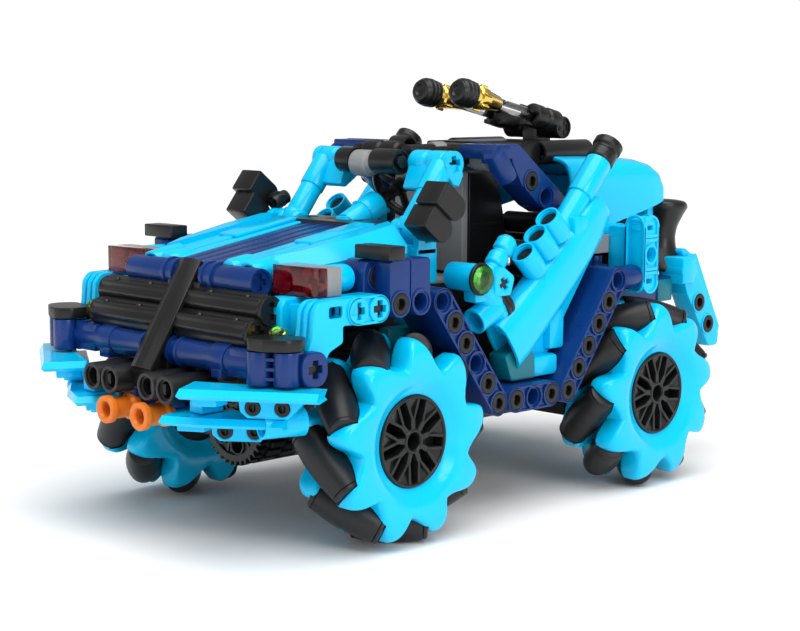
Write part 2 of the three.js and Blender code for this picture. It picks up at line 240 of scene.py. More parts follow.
def soften(profile, radius=0.25, steps=2):
    """Rounds the corners of a [r, h] profile, apart from its ends."""
    out = [profile[0]]
    for before, corner, after in zip(profile, profile[1:], profile[2:]):
        a, b, c = Vector(before), Vector(corner), Vector(after)
        reach = min(radius, (a - b).length * 0.45, (c - b).length * 0.45)
        if reach < 0.02:
            out.append(corner)
            continue
        start = b + (a - b).normalized() * reach
        end = b + (c - b).normalized() * reach
        for i in range(steps + 1):
            t = i / steps
            p = start.lerp(b, t).lerp(b.lerp(end, t), t)
            out.append((p.x, p.y))
    out.append(profile[-1])
    return out


def lathe(profile, sides=32, rounding=0.25):
    """A solid of revolution about Z from a [radius, height] profile, closed on the axis or on itself."""
    closed = profile[0] == profile[-1]
    outline = soften(profile, rounding) if rounding else list(profile)
    points, faces, rings = [], [], []
    for radius, height in outline[:-1] if closed else outline:
        if radius < 1e-6:
            rings.append([len(points)])
            points.append((0, 0, height))
            continue
        rings.append(list(range(len(points), len(points) + sides)))
        points.extend((radius * math.cos(TAU * k / sides), radius * math.sin(TAU * k / sides), height)
                      for k in range(sides))
    pairs = list(zip(rings, rings[1:])) + ([(rings[-1], rings[0])] if closed else [])
    for low, high in pairs:
        for k in range(sides):
            j = (k + 1) % sides
            if len(low) == 1 and len(high) > 1:
                faces.append((low[0], high[j], high[k]))
            elif len(high) == 1 and len(low) > 1:
                faces.append((low[k], low[j], high[0]))
            elif len(low) > 1:
                faces.append((low[k], low[j], high[j], high[k]))
    return Shape(points, faces)


def along(shape, start, end):
    """Moves a shape drawn up the Z axis so that it starts at a point and points at another."""
    start, end = Vector(start), Vector(end)
    turn = (end - start).to_track_quat("Z", "Y").to_matrix().to_4x4()
    return shape.moved(Matrix.Translation(start) @ turn)


def span(start, end):
    return (Vector(end) - Vector(start)).length


def rod(start, end, radius=3.9, end_radius=None, bevel=0.3, sides=32):
    """A solid round bar with softened ends."""
    length = span(start, end)
    top = radius if end_radius is None else end_radius
    return along(lathe([(0, 0), (radius, 0), (top, length), (0, length)], sides, bevel), start, end)


def tube(start, end, radius=3.9, bore=HOLE, depth=None, lip=0.45, sides=32):
    """A round bar open at both ends; each mouth has a countersunk lip, and the bore is as deep as asked."""
    length = span(start, end)
    deep = depth if depth is not None and 2 * depth < length else None
    inner = bore + lip
    if deep is None:
        profile = [(bore, 0.8), (inner, 0.8), (inner, 0), (radius, 0), (radius, length), (inner, length),
                   (inner, length - 0.8), (bore, length - 0.8), (bore, 0.8)]
        return along(lathe(profile, sides, 0.2), start, end)
    profile = [(0, deep), (bore, deep), (bore, 0.8), (inner, 0.8), (inner, 0), (radius, 0), (radius, length),
               (inner, length), (inner, length - 0.8), (bore, length - 0.8), (bore, length - deep),
               (0, length - deep)]
    return along(lathe(profile, sides, 0.2), start, end)


CACHE = {}


def flat(outline, holes=(), depth=1.0, bevel=0.25, key=None):
    """An outline in the XY plane with holes, as thick as asked and centred on Z = 0, with rounded edges."""
    if key is not None and key in CACHE:
        return CACHE[key]
    curve = bpy.data.curves.new("outline", "CURVE")
    curve.dimensions = "2D"
    curve.fill_mode = "BOTH"
    curve.extrude = max(depth / 2 - bevel, 0.01)
    curve.bevel_depth = bevel
    curve.bevel_resolution = 1
    curve.offset = -bevel
    for loop in (outline, *holes):
        spline = curve.splines.new("POLY")
        spline.points.add(len(loop) - 1)
        for point, (x, y) in zip(spline.points, loop):
            point.co = (x, y, 0, 1)
        spline.use_cyclic_u = True
    holder = bpy.data.objects.new("outline", curve)
    bpy.context.scene.collection.objects.link(holder)
    mesh = holder.evaluated_get(bpy.context.evaluated_depsgraph_get()).to_mesh()
    shape = from_mesh(mesh)
    bpy.data.objects.remove(holder)
    bpy.data.curves.remove(curve)
    if key is not None:
        CACHE[key] = shape
    return shape


def circle(radius, centre=(0, 0), sides=28, start=0.0, turn=TAU):
    steps = sides if turn >= TAU else sides + 1
    return [(centre[0] + radius * math.cos(start + turn * k / sides),
             centre[1] + radius * math.sin(start + turn * k / sides)) for k in range(steps)]


def stadium(length, radius, sides=16):
    """A slot outline from the origin along +X, rounded about both ends."""
    return (circle(radius, (length, 0), sides, -math.pi / 2, math.pi)
            + circle(radius, (0, 0), sides, math.pi / 2, math.pi))


def cross(centre=(0, 0), reach=2.35, width=0.95, turn=0.0):
    """Outline of a cross-shaped axle hole."""
    corners = [(reach, width), (width, width), (width, reach), (-width, reach), (-width, width),
               (-reach, width), (-reach, -width), (-width, -width), (-width, -reach), (width, -reach),
               (width, -width), (reach, -width)]
    c, s = math.cos(turn), math.sin(turn)
    return [(centre[0] + c * x - s * y, centre[1] + s * x + c * y) for x, y in corners]


# ---------------------------------------------------------------- building-set pieces

def beam_shape(holes, depth=BEAM, axle_holes=()):
    """A beam with holes along +X: a web, and on each face a rim and a ring round every hole."""
    key = ("beam", holes, depth, tuple(axle_holes))
    if key in CACHE:
        return CACHE[key]
    length = (holes - 1) * MODULE
    centres = [(k * MODULE, 0) for k in range(holes)]
    web_holes = [cross(c) if k in axle_holes else circle(HOLE, c) for k, c in enumerate(centres)]
    recess = 0.7
    whole = flat(stadium(length, BEAM / 2), web_holes, depth - 2 * recess, 0.1)
    rim = flat(stadium(length, BEAM / 2), [stadium(length, BEAM / 2 - 0.75)], recess + 0.3, 0.2)
    ring_hole = {k: (cross() if k in axle_holes else circle(COUNTERBORE)) for k in range(holes)}
    for way in (-1, 1):
        lift = way * (depth / 2 - recess / 2 - 0.1)
        whole = whole + rim.at(z=lift)
        for k, centre in enumerate(centres):
            ring = flat(circle(3.75), [ring_hole[k]], recess + 0.3, 0.15, ("ring", k in axle_holes))
            whole = whole + ring.at(x=centre[0], z=lift)
    CACHE[key] = whole
    return whole


def pin_end():
    """The visible end of a friction pin, flush in its hole: a slotted collar and a hollow middle."""
    collar = lathe([(1.55, -2.0), (1.55, 0.35), (1.75, 0.45), (2.85, 0.45), (2.95, 0.3), (2.95, -0.3),
                    (2.4, -0.3), (2.4, -2.0), (1.55, -2.0)], 24, 0.08)
    floor = lathe([(0, -1.9), (1.7, -1.9), (1.7, -1.6), (0, -1.6)], 24, 0)
    rib = block(-0.35, 0.35, -1.7, 1.7, -1.9, -0.7, 0.08, 1)
    return collar + floor + rib


def side_matrix(x, y, z, degrees=0.0):
    """Takes a flat piece from the XY plane to one facing +X; its +X goes to +Y, then up by an angle."""
    return Matrix.Translation((x, y, z)) @ Matrix.Rotation(math.radians(degrees), 4, "X") @ FACE_RIGHT


def make(name, material, shape, replaces=(), smooth_angle=32.0, body="chassis"):
    """A piece of one material that rides on one body and may stand for CAD nodes."""
    mesh = bpy.data.meshes.new(name)
    mesh.from_pydata([p * MM for p in shape.points], [], shape.faces)
    tidy = bmesh.new()
    tidy.from_mesh(mesh)
    bmesh.ops.recalc_face_normals(tidy, faces=tidy.faces)
    for face in tidy.faces:
        face.smooth = True
    for edge in tidy.edges:
        edge.smooth = len(edge.link_faces) == 2 and edge.calc_face_angle(0.0) < math.radians(smooth_angle)
    tidy.to_mesh(mesh)
    tidy.free()
    piece = bpy.data.objects.new(name, mesh)
    bpy.context.scene.collection.objects.link(piece)
    mesh.materials.append(MATERIALS[material])
    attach(piece, body)
    if replaces:
        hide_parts(*replaces)


# ---------------------------------------------------------------- wheels

def roller_radius(s):
    return WHEEL_RADIUS - math.sqrt(ROLLER_AXIS_RADIUS ** 2 + s * s / 2)


def roller_profile(grow=0.0, half=ROLLER_HALF_LENGTH, grooves=True):
    """Barrel outline whose curve lies on the wheel's circle, with a thin groove near each end."""
    stations = [half * (2 * k / 20 - 1) for k in range(21)]
    side = [(roller_radius(s) + grow, s) for s in stations[1:-1]]
    if grooves:
        groove = half - 1.25
        side = [p for p in side if abs(p[1]) < groove - 0.5]
        r = roller_radius(groove)
        low = [(roller_radius(half) - 0.5, -half), (roller_radius(half - 0.35), -half + 0.35),
               (r, -groove - 0.16), (r - 0.28, -groove), (r, -groove + 0.16)]
        side = low + side + [(a, -b) for a, b in reversed(low)]
        foot = [(0, -half + 0.3), (1.3, -half + 0.3), (1.3, -half)]
        return foot + side + [(a, -b) for a, b in reversed(foot)]
    end = roller_radius(half) + grow
    return [(0, -half), (end, -half)] + side + [(end, half), (0, half)]


def roller_matrix(index, hand):
    """From a roller drawn up the Z axis to its place round a wheel whose axle is the X axis."""
    angle = 360 / LOBES * index - hand * LOBE_AHEAD
    slant = Matrix.Rotation(math.radians(-hand * 45), 4, "Z")
    lift = Matrix.Translation((0, 0, ROLLER_AXIS_RADIUS))
    return Matrix.Rotation(math.radians(angle), 4, "X") @ lift @ slant @ Z_TO_X


LOBE_FORM = [(-20, 21.4), (-15, 21.9), (-10, 23.1), (-5, 25.2), (0, 27.4), (4, 28.6), (7, 28.9), (10, 28.2),
             (13, 26.0), (15.5, 23.6), (18, 21.9), (20, 21.4)]
PLATE_FORM = [(13.2, 8.8), (14.2, 9.1), (15.4, 9.9), (16.6, 10.9), (17.8, 11.4), (19.0, 11.6), (21.5, 11.75),
              (24.0, 11.7), (26.5, 11.2), (29.5, 9.6)]


def blend_table(table, x):
    for (x0, y0), (x1, y1) in zip(table, table[1:]):
        if x <= x1:
            t = (x - x0) / (x1 - x0)
            return y0 + (y1 - y0) * max(t, 0.0)
    return table[-1][1]


def lobe_radius(phi):
    """Smoothed radius of the plate's edge at an angle from a lobe's middle."""
    near = [blend_table(LOBE_FORM, max(-20, min(20, phi + d))) for d in (-1.4, -0.7, 0, 0.7, 1.4)]
    return sum(near) / len(near)


def wheel_plate(hand):
    """The outer lobed plate: a bulbous shell on a polar grid, open in the middle for the hub disc."""
    steps = 36
    pitch = 360 / LOBES
    count = LOBES * steps
    depth = 3.5
    inner = PLATE_FORM[0][0]
    points, faces = [], []
    shares = [0.0, 0.08, 0.2, 0.33, 0.46, 0.58, 0.68, 0.77, 0.85, 0.91, 0.95, 0.98, 1.0]
    rows = len(shares)
    for k in range(count):
        phi = ((k % steps) / steps - 0.5) * pitch
        angle = math.radians(90 + hand * (pitch * (k // steps) + phi + LOBE_TURN))
        edge = lobe_radius(phi)
        column = []
        for share in shares:
            radius = inner + (edge - inner) * share
            height = blend_table(PLATE_FORM, radius)
            inset = max(0.0, 1 - (edge - radius) / 2.0)
            height -= 2.0 * (1 - math.sqrt(max(0.0, 1 - inset * inset)))
            column.append((radius, height))
        for share in reversed(shares):
            radius = inner + (edge - inner) * share
            column.append((radius, depth + 1.1 * max(0.0, 1 - (edge - radius) / 1.5) ** 2))
        points.extend((h, r * math.cos(angle), r * math.sin(angle)) for r, h in column)
    size = 2 * rows
    for k in range(count):
        j = (k + 1) % count
        for i in range(size):
            n = (i + 1) % size
            quad = (k * size + i, k * size + n, j * size + n, j * size + i)
            faces.append(quad if hand < 0 else tuple(reversed(quad)))
    return Shape(points, faces)


def carve(shape, cutter):
    """Takes one closed shape out of another."""
    objects = []
    for item in (shape, cutter):
        mesh = bpy.data.meshes.new("work")
        mesh.from_pydata(item.points, [], item.faces)
        holder = bpy.data.objects.new("work", mesh)
        bpy.context.scene.collection.objects.link(holder)
        objects.append(holder)
    body, tool = objects
    modifier = body.modifiers.new("cut", "BOOLEAN")
    modifier.object = tool
    modifier.operation = "DIFFERENCE"
    modifier.solver = "EXACT"
    mesh = body.evaluated_get(bpy.context.evaluated_depsgraph_get()).to_mesh()
    result = from_mesh(mesh)
    for holder in objects:
        bpy.data.objects.remove(holder)
    return result


def wheel_plates(hand):
    """Both lobed plates with the roller pockets cut in them, about the wheel's own centre; +X is outward."""
    plate = wheel_plate(hand)
    cutters = joined(lathe(roller_profile(0.3, ROLLER_HALF_LENGTH + 0.25, False), 28, 0)
                     .moved(roller_matrix(k, hand)) for k in range(LOBES))
    plate = carve(plate, cutters)
    first = math.radians(90 - hand * LOBE_AHEAD)
    over = Matrix.Rotation(math.pi, 4, Vector((0, math.cos(first), math.sin(first))))
    return plate + plate.moved(over)


def hub_disc():
    """The black insert: rim, centre boss, broad spokes that fork, and sloping facets between them."""
    rim = lathe([(11.9, 4.5), (11.9, 9.1), (12.2, 9.5), (12.7, 9.5), (13.05, 9.1), (13.05, 4.5), (11.9, 4.5)],
                72, 0.15).moved(Z_TO_X)
    boss = lathe([(2.45, 1.0), (2.45, 8.9), (2.75, 9.4), (3.3, 9.4), (3.6, 9.0), (3.7, 1.0), (2.45, 1.0)],
                 40, 0.12).moved(Z_TO_X)
    seat = lathe([(3.4, 3.0), (11.9, 5.3), (11.9, 4.4), (3.4, 2.2), (3.4, 3.0)], 64, 0.1).moved(Z_TO_X)
    pieces = [rim, boss, seat]
    for k in range(9):
        turn = Matrix.Rotation(math.radians(40 * k + 12), 4, "X")
        stem = flat([(3.2, -0.85), (7.0, -0.75), (7.0, 0.75), (3.2, 0.85)], (), 5.6, 0.15)
        pieces.append(stem.moved(turn @ side_matrix(6.3, 0, 0)))
        for way in (-1, 1):
            fork = [(6.2, way * -0.1), (12.1, way * 1.9), (12.1, way * 3.1), (6.5, way * 0.8)]
            pieces.append(flat(fork[::way], (), 5.4, 0.15).moved(turn @ side_matrix(6.5, 0, 0)))
        web = loft([[(1.5, 6.2, 0.0), (1.5, 12.1, 2.6), (1.5, 12.1, -2.6)],
                    [(7.6, 6.2, 0.0), (9.0, 12.1, 2.4), (9.0, 12.1, -2.4)]])
        pieces.append(web.moved(turn))
    return joined(pieces)


def build_wheels():
    plates = {hand: wheel_plates(hand) for hand in (1, -1)}
    disc = hub_disc()
    backing = lathe([(2.5, 0.0), (12.95, 0.0), (12.95, 4.3), (2.5, 2.0), (2.5, 0.0)], 64, 0.1).moved(Z_TO_X)
    core = lathe([(2.6, -7.6), (17.2, -7.6), (17.2, 6.6), (13.05, 7.0), (13.05, -0.1), (2.6, -0.1),
                  (2.6, -7.6)], 72, 0.3).moved(Z_TO_X)
    axle = lathe([(0, -19.4), (2.3, -19.4), (2.3, 1.5), (0, 1.5)], 20, 0.2).moved(Z_TO_X)
    roller = lathe(roller_profile(), 40, 0)
    for name, (side, end, hand) in WHEELS.items():
        turn = Matrix.Rotation(0 if side > 0 else math.pi, 4, "Z")
        place = Matrix.Translation((side * TRACK_HALF, end * AXLE_Y, WHEEL_RADIUS)) @ turn
        wheel = "wheel_" + name
        make(wheel + "_plates", "azure", (plates[hand] + backing).moved(place), [wheel], 40, wheel)
        make(wheel + "_hub", "black", (disc + core + axle).moved(place), body=wheel)
        for k in range(LOBES):
            body = f"roller_{name}_{k + 1}"
            make(body + "_tread", "rubber", roller.moved(place @ roller_matrix(k, hand)), [body], body=body)


# ---------------------------------------------------------------- shared outlines

def yz_plate(outline, x0, x1, holes=(), bevel=0.3):
    """A plate facing +X from an outline of (y, z) points; x0 and x1 may come in either order."""
    return flat(outline, holes, abs(x1 - x0), bevel).moved(side_matrix((x0 + x1) / 2, 0, 0))


def xy_plate(outline, z0, z1, holes=(), bevel=0.3):
    return flat(outline, holes, z1 - z0, bevel).at(z=(z0 + z1) / 2)


def rounded(outline, radius=1.0, steps=5):
    """An outline with its corners rounded; the radius may be given for each corner."""
    out = []
    count = len(outline)
    radii = radius if isinstance(radius, (list, tuple)) else [radius] * count
    for k in range(count):
        before, corner, after = (Vector(outline[(k + d) % count]) for d in (-1, 0, 1))
        a, b = (before - corner), (after - corner)
        turn = math.pi - a.angle(b)
        reach = radii[k] * math.tan(turn / 2)
        reach = min(reach, a.length * 0.49, b.length * 0.49)
        if reach < 0.02:
            out.append(tuple(corner))
            continue
        start, end = corner + a.normalized() * reach, corner + b.normalized() * reach
        size = reach / math.tan(turn / 2)
        middle = corner + (a.normalized() + b.normalized()).normalized() * (size / math.cos(turn / 2))
        first = start - middle
        sweep = math.atan2(first.x * (end - middle).y - first.y * (end - middle).x, first.dot(end - middle))
        for i in range(steps + 1):
            angle = sweep * i / steps
            c, s = math.cos(angle), math.sin(angle)
            out.append((middle.x + c * first.x - s * first.y, middle.y + s * first.x + c * first.y))
    return out


def rectangle(x0, x1, y0, y1):
    return [(x0, y0), (x1, y0), (x1, y1), (x0, y1)]


def loft(sections):
    """A closed skin through rings of points, all with the same count."""
    points, faces = [], []
    count = len(sections[0])
    for section in sections:
        points.extend(section)
    for low in range(len(sections) - 1):
        for k in range(count):
            j = (k + 1) % count
            a, b = low * count, (low + 1) * count
            faces.append((a + k, a + j, b + j, b + k))
    faces.append(tuple(reversed(range(count))))
    last = (len(sections) - 1) * count
    faces.append(tuple(last + k for k in range(count)))
    return Shape(points, faces)


def pin_at(x, y, z):
    """A pin end flush with a face that looks along +X."""
    return pin_end().moved(side_matrix(x, y, z))


def ring_at(x, y, z, inner=HOLE, outer=3.75, height=0.7):
    return flat(circle(outer), [circle(inner)], height, 0.15).moved(side_matrix(x, y, z))


# ---------------------------------------------------------------- side frames

FRAME_OUT = 52.0
FRAME_MID = 44.1
FRAME_IN = 36.2
ARM_ANGLE = math.degrees(math.atan2(4, 3))
LOW_Z = 35.4
HIGH_Z = 67.4


def arm_holes(y, direction, count=6):
    return [(y + direction * 0.6 * MODULE * k, LOW_Z + 0.8 * MODULE * k) for k in range(count)]


def build_side_frames():
    depth = FRAME_OUT - FRAME_IN
    middle = (FRAME_OUT + FRAME_IN) / 2
    navy, azure, black = (Shape() for _ in range(3))
    front_arm, rear_arm = arm_holes(-17, -1), arm_holes(15, 1)
    navy += beam_shape(6, depth).moved(side_matrix(middle, -17, LOW_Z, 180 - ARM_ANGLE))
    navy += beam_shape(6, depth).moved(side_matrix(middle, 15, LOW_Z, ARM_ANGLE))
    navy += beam_shape(3, depth).moved(side_matrix(middle, -9, LOW_Z))
    pinned = [front_arm[k] for k in (0, 1, 3, 4)] + rear_arm[:5] + [(-9, LOW_Z), (7, LOW_Z)]
    for y, z in pinned:
        black += pin_at(FRAME_OUT - 0.4, y, z)

    # upright beams over the front wheel, side by side, with round feet
    for y, pin in ((-58.4, True), (-50.3, False)):
        foot = circle(3.9, (y, 68.2), 14, math.pi, math.pi)
        outline = foot + rounded([(y + 3.9, 68.2), (y + 3.9, 80.4), (y - 3.9, 80.4), (y - 3.9, 68.2)],
                                 [0, 1.3, 1.3, 0])[1:-1]
        navy += yz_plate(outline, FRAME_IN + 8.2, FRAME_OUT, [circle(HOLE, (y, 68.2))], 0.35)
        navy += ring_at(FRAME_OUT + 0.15, y, 68.2, COUNTERBORE, 3.8, 0.5)
        if pin:
            black += pin_at(FRAME_OUT, y, 68.2)
    inner = rounded([(-66.2, 67.2), (-53.5, 67.2), (-53.5, 80.2), (-66.2, 80.2)], [1.0, 1, 1, 3.8])
    navy += yz_plate(inner, FRAME_IN + 0.3, FRAME_MID + 1.4, [circle(HOLE, (-61.2, 75.2))], 0.4)
    navy += ring_at(FRAME_MID + 1.6, -61.2, 75.2, COUNTERBORE, 3.8, 0.5)
    navy += block(37, 51, -62, -46.6, 72, 80.2, 0.4)
    navy += rod((48, 42, HIGH_Z), (48, 51.6, HIGH_Z), 3.9, bevel=0.9)
    black += pin_at(FRAME_MID + 1.5, -61.2, 75.2)
    black += block(40.2, 53.9, -64.6, -58.4, 80.5, 84.3, 0.35)

    # azure bracket ahead of the uprights: two axle holes, a slotted block and a ribbed foot
    azure += beam_shape(2, BEAM, (0, 1)).moved(side_matrix(48.3, -74.4, 67.6))
    black += plug(51.9, -74.4, 67.6, 2.1, 5) + plug(51.9, -66.4, 67.6, 2.1, 5)
    body = rounded([(-79.5, 64.0), (-74, 63.9), (-74, 71.4), (-88.0, 71.2), (-90.0, 68.6), (-90.6, 62.0),
                    (-94.4, 52.6), (-87.5, 52.2), (-84.5, 57.4), (-79.5, 59.5)],
                   [0.6, 0.2, 0.2, 3.4, 2.5, 6, 1.2, 2.0, 2.5, 1.2])
    slot = rounded(rectangle(-84.6, -79.8, 66.4, 69.4), 0.6)
    for low, high in ((44.6, 46.2), (47.2, 48.8), (49.8, 51.6)):
        azure += yz_plate(body, low, high, [slot], 0.3)
    core = [(-79.8, 64.4), (-74.2, 64.4), (-74.2, 71), (-87.4, 70.6), (-89.2, 68), (-89.8, 62), (-92.8, 54.0),
            (-88.2, 53.6), (-85.2, 58.4), (-80, 60.6)]
    azure += yz_plate(core, 45, 51, [slot], 0.1)
    arch = rounded([(-89.6, 60.5), (-80, 60.5), (-80, 71), (-89.6, 71)], [1, 0.5, 1, 3.2])
    azure += yz_plate(arch, 31.5, 38.0, (), 0.6)
    azure += block(37, 46, -86.5, -81, 61, 69.5, 0.4)

    # azure upright beam over the rear wheel: rimmed faces, a slot at each end and a pin hole between
    azure += tall_beam(48.1, 55.4, 61.8, 86.8)
    azure += block(36.5, 44.0, 52.6, 59.4, 62, 83, 0.8)
    for part, material in ((navy, "navy"), (azure, "azure"), (black, "black")):
        for side, matrix in SIDES:
            node = [f"side_frame_{side}"] if material == "navy" else ()
            make(f"side_frame_{material}_{side}", material, part.moved(matrix), node)


def tall_beam(x, y, low, high):
    """An upright beam with holes and rims on its outer face and its front face."""
    half = 3.95
    frame = rounded(rectangle(-half, half, low, high), half - 0.1, 8)
    window = rounded(rectangle(-half + 0.8, half - 0.8, low + 0.8, high - 0.8), half - 0.9, 8)
    inside = rounded(rectangle(-half + 0.7, half - 0.7, low + 0.4, high - 0.4), half - 0.8, 8)
    middle = (low + high) / 2
    slots = [rounded(rectangle(-1.5, 1.5, z - 0.75, z + 0.75), 0.3) for z in (low + 4.0, high - 4.0)]
    hole = circle(HOLE, (0, middle))
    core = flat(inside, [*slots, hole], 2 * half - 1.4, 0.15)
    rim = flat(frame, [window], 1.0, 0.2)
    ring = flat(circle(3.3, (0, middle)), [circle(HOLE, (0, middle))], 1.0, 0.2)
    webs = joined(flat(rectangle(-3.3, 3.3, z - 0.5, z + 0.5), (), 1.0, 0.1)
                  for z in (middle - 4.6, middle + 4.6, low + 6.6, high - 6.6))
    face = (rim + ring + webs).at(z=half - 0.5)
    cap = flat(slots[1], (), 0.6, 0.1).at(z=half - 0.6)
    front = rim.at(z=half - 0.5) + cap
    half_turn = Matrix.Rotation(math.pi, 4, "Z")
    beam = core.moved(FACE_RIGHT)
    for piece, way in ((face, FACE_RIGHT), (front, FACE_FRONT)):
        beam = beam + piece.moved(way) + piece.moved(half_turn @ way)
    return beam.at(x, y)


# ---------------------------------------------------------------- front end

def plug(x, y, z, reach=1.9, length=3.0):
    """The end of an axle or pin inside a hole that looks along +X, just below the face."""
    return rod((x - 0.7 - length, y, z), (x - 0.7, y, z), reach, bevel=0.15, sides=20)


def axle_tube(start, end, radius=3.9, inner=3.1):
    """A round bar whose ends are set back inside a rim and carry an axle hole."""
    length = span(start, end)
    wall = lathe([(inner, 0.8), (inner, 0), (radius, 0), (radius, length), (inner, length),
                  (inner, length - 0.8), (inner, 0.8)], 32, 0.2)
    core = rod((0, 0, 1.8), (0, 0, length - 1.8), inner + 0.2, bevel=0.05)
    face = flat(circle(inner + 0.2, sides=24), [cross()], 1.2, 0.08, ("plug", inner))
    return along(wall + core + face.at(z=1.2) + face.at(z=length - 1.2), start, end)


def build_bumper():
    navy, black, gold, gem = (Shape() for _ in range(4))
    # the cross bar: stepped tubes with flanges
    steps = [(0, 0), (3.3, 0), (3.3, 3), (4.4, 3), (4.4, 4.4), (3.4, 4.4), (3.4, 7.2), (4.5, 7.2), (4.5, 8.6),
             (3.9, 8.6), (3.9, 22), (4.4, 22), (4.4, 28.4), (3.8, 28.4), (3.8, 40), (0, 40)]
    bar = along(lathe(steps, 36, 0.3), (0, -97.9, 54.3), (40, -97.9, 54.3))
    navy += mirrored(bar)
    for side in (1, -1):
        navy += block(side * 25.2 - 2.3, side * 25.2 + 2.3, -101.6, -96, 49.4, 54, 0.5)
        navy += block(side * 9.6 - 5.6, side * 9.6 + 5.6, -95.8, -91.2, 50.5, 58, 0.5)
    post = Shape()
    for x, y in ((43.4, -101.9), (50.2, -98.6)):
        post += rod((x, y, 49.9), (x, y, 59.0), 3.5, bevel=0.5)
    post += xy_plate([(38.0, -101.5), (45.5, -98.5), (51.5, -95.5), (53.0, -91.5), (40, -91.5), (38, -95)],
                     50.2, 58.6)
    for z in (51.8, 54.4, 57.0):
        post += xy_plate([(43.6, -104.6), (49.0, -101.9), (48, -98), (42, -100)], z - 0.45, z + 0.45,
                         bevel=0.15)
    post += block(30, 39, -101.2, -94, 50.4, 58.2, 0.7)
    outline = rounded(rectangle(-96.6, -87.6, 49.3, 58.6), 3.6, 7)
    post += yz_plate(outline, 52.6, 54.3, [cross((-92.0, 54))], 0.35)
    post += yz_plate(outline, 45.5, 52.9, (), 0.2)
    socket = rod((52.4, -92.0, 54), (53.0, -92.0, 54), 2.5, bevel=0.05)
    black += mirrored(socket)
    navy += mirrored(post)
    cap = rounded([(39.2, -102.6), (42.8, -105.8), (47.6, -104.8), (53.4, -101.2), (54.2, -96.5),
                   (51.0, -92.4), (41.6, -93.6), (39.0, -97.5)], [2.2, 2.4, 2.4, 3.4, 3.0, 2, 2, 2.2], 4)
    lid = xy_plate(cap, 59.2, 62.4, (), 0.4)
    black += mirrored(lid)
    for side in (1, -1):
        # a faceted jewel in a ring behind each cap
        cone = lathe([(0, 0), (3.4, 0), (3.6, 1.6), (2.2, 3.6), (0, 3.9)], 8, 0)
        gold += along(cone, (side * 40.2, -92.4, 59.8), (side * 41.4, -93.9, 62.6))
        gem += along(lathe([(0, 0), (2.0, 0), (2.3, 0.7), (1.2, 1.9), (0, 2.1)], 8, 0),
                     (side * 41.0, -93.5, 62.0), (side * 41.7, -94.5, 63.7))
    make("front_bumper_bar", "navy", navy, ["front_bumper"])
    make("front_bumper_caps", "black", black)
    make("front_bumper_jewels", "gold", gold)
    make("front_bumper_gems", "green", gem)


def blade(corners, low, high, slope):
    """A plank with a sharp front edge: full thickness along the back, bevelled toward the front."""
    top = [(x, y, high) for x, y in corners]
    middle = Vector((sum(c[0] for c in corners) / len(corners), sum(c[1] for c in corners) / len(corners), 0))
    rim = [(x + (x - middle.x) * 0.02, y - slope, low + 0.9) for x, y in corners]
    base = [(x, y, low) for x, y in corners]
    return loft([base, rim, top])


def build_blades():
    azure, black = Shape(), Shape()
    upper = [(24.2, -108.2), (30.6, -118.4), (61.6, -97.6), (57.4, -90.8), (44.6, -97.4), (38, -101.5)]
    azure += blade(upper, 46.4, 49.2, 1.2)
    azure += xy_plate(rounded([(27.4, -107.6), (30.4, -114.4), (36, -110.8), (35, -105.5)], 0.6), 44.0, 46.6)
    lower = [(14.6, -104.2), (19.2, -115.2), (30, -110), (47.4, -97.2), (45.2, -90.4), (33.6, -92.4)]
    azure += blade(lower, 37.6, 40.2, 1.2)
    azure += xy_plate(rounded([(16.6, -105.2), (20.4, -111.4), (27, -107.4), (25, -101.5)], 0.6), 35.6, 37.9)
    # two-hole brackets hanging below each blade
    for start, turn, level in (((40.0, -100.8), 33.5, 44.2), ((27.6, -100.2), 38.0, 36.2)):
        holes = [circle(2.1, (k * 8 + 0.5, -0.4), 20) for k in (0, 1)]
        shape = flat([(-3.6, 3.3), (-3.0, -1.6), (-1.0, -3.2), (10.0, -3.2), (13.6, 0.5), (14.6, 3.3)], holes,
                     7.4, 0.4)
        place = Matrix.Translation((*start, level)) @ Matrix.Rotation(math.radians(turn), 4, "Z") @ FACE_FRONT
        azure += shape.moved(place)
        for k in (0, 1):
            black += pin_end().moved(place @ Matrix.Translation((k * 8 + 0.5, -0.4, 3.5)) @ Matrix.Diagonal(
                (0.7, 0.7, 0.7, 1)))
    azure += tube((41.2, -99.6, 38.6), (45.0, -88.0, 38.6), 3.9, 2.6, 5)
    azure += block(21.4, 26.8, -107.8, -100.2, 40.4, 45.4, 0.5)
    for side, matrix in SIDES:
        make(f"blades_azure_{side}", "azure", azure.moved(matrix), [f"blades_{side}"], 20)
        make(f"blades_pins_{side}", "black", black.moved(matrix))


def ribbed_log(y, z, reach):
    """A log along X with lengthwise flats, set-back axle holes in its ends and a few bumps on top."""
    radius = 4.2
    ribs = []
    for k in range(64):
        angle = TAU * k / 64
        swell = 0.26 * math.cos(8 * angle)
        ribs.append(((radius + swell) * math.cos(angle), (radius + swell) * math.sin(angle)))
    shape = Shape()
    for side in (1, -1):
        shape += yz_plate([(y + a, z + b) for a, b in ribs], side * 4.2, side * (reach - 1.2), (), 0.3)
        end = circle(radius - 0.1, (y, z), 36)
        shape += yz_plate(end, side * (reach - 1.6), side * reach, [cross((y, z))], 0.2)
        for x in (13.5, 29.0):
            bump = lathe([(0, 0), (1.0, 0), (0.9, 0.5), (0.5, 0.85), (0, 1.0)], 14, 0)
            shape += along(bump, (side * x, y - 2.2, z + 3.3), (side * x, y - 2.9, z + 4.4))
    return shape


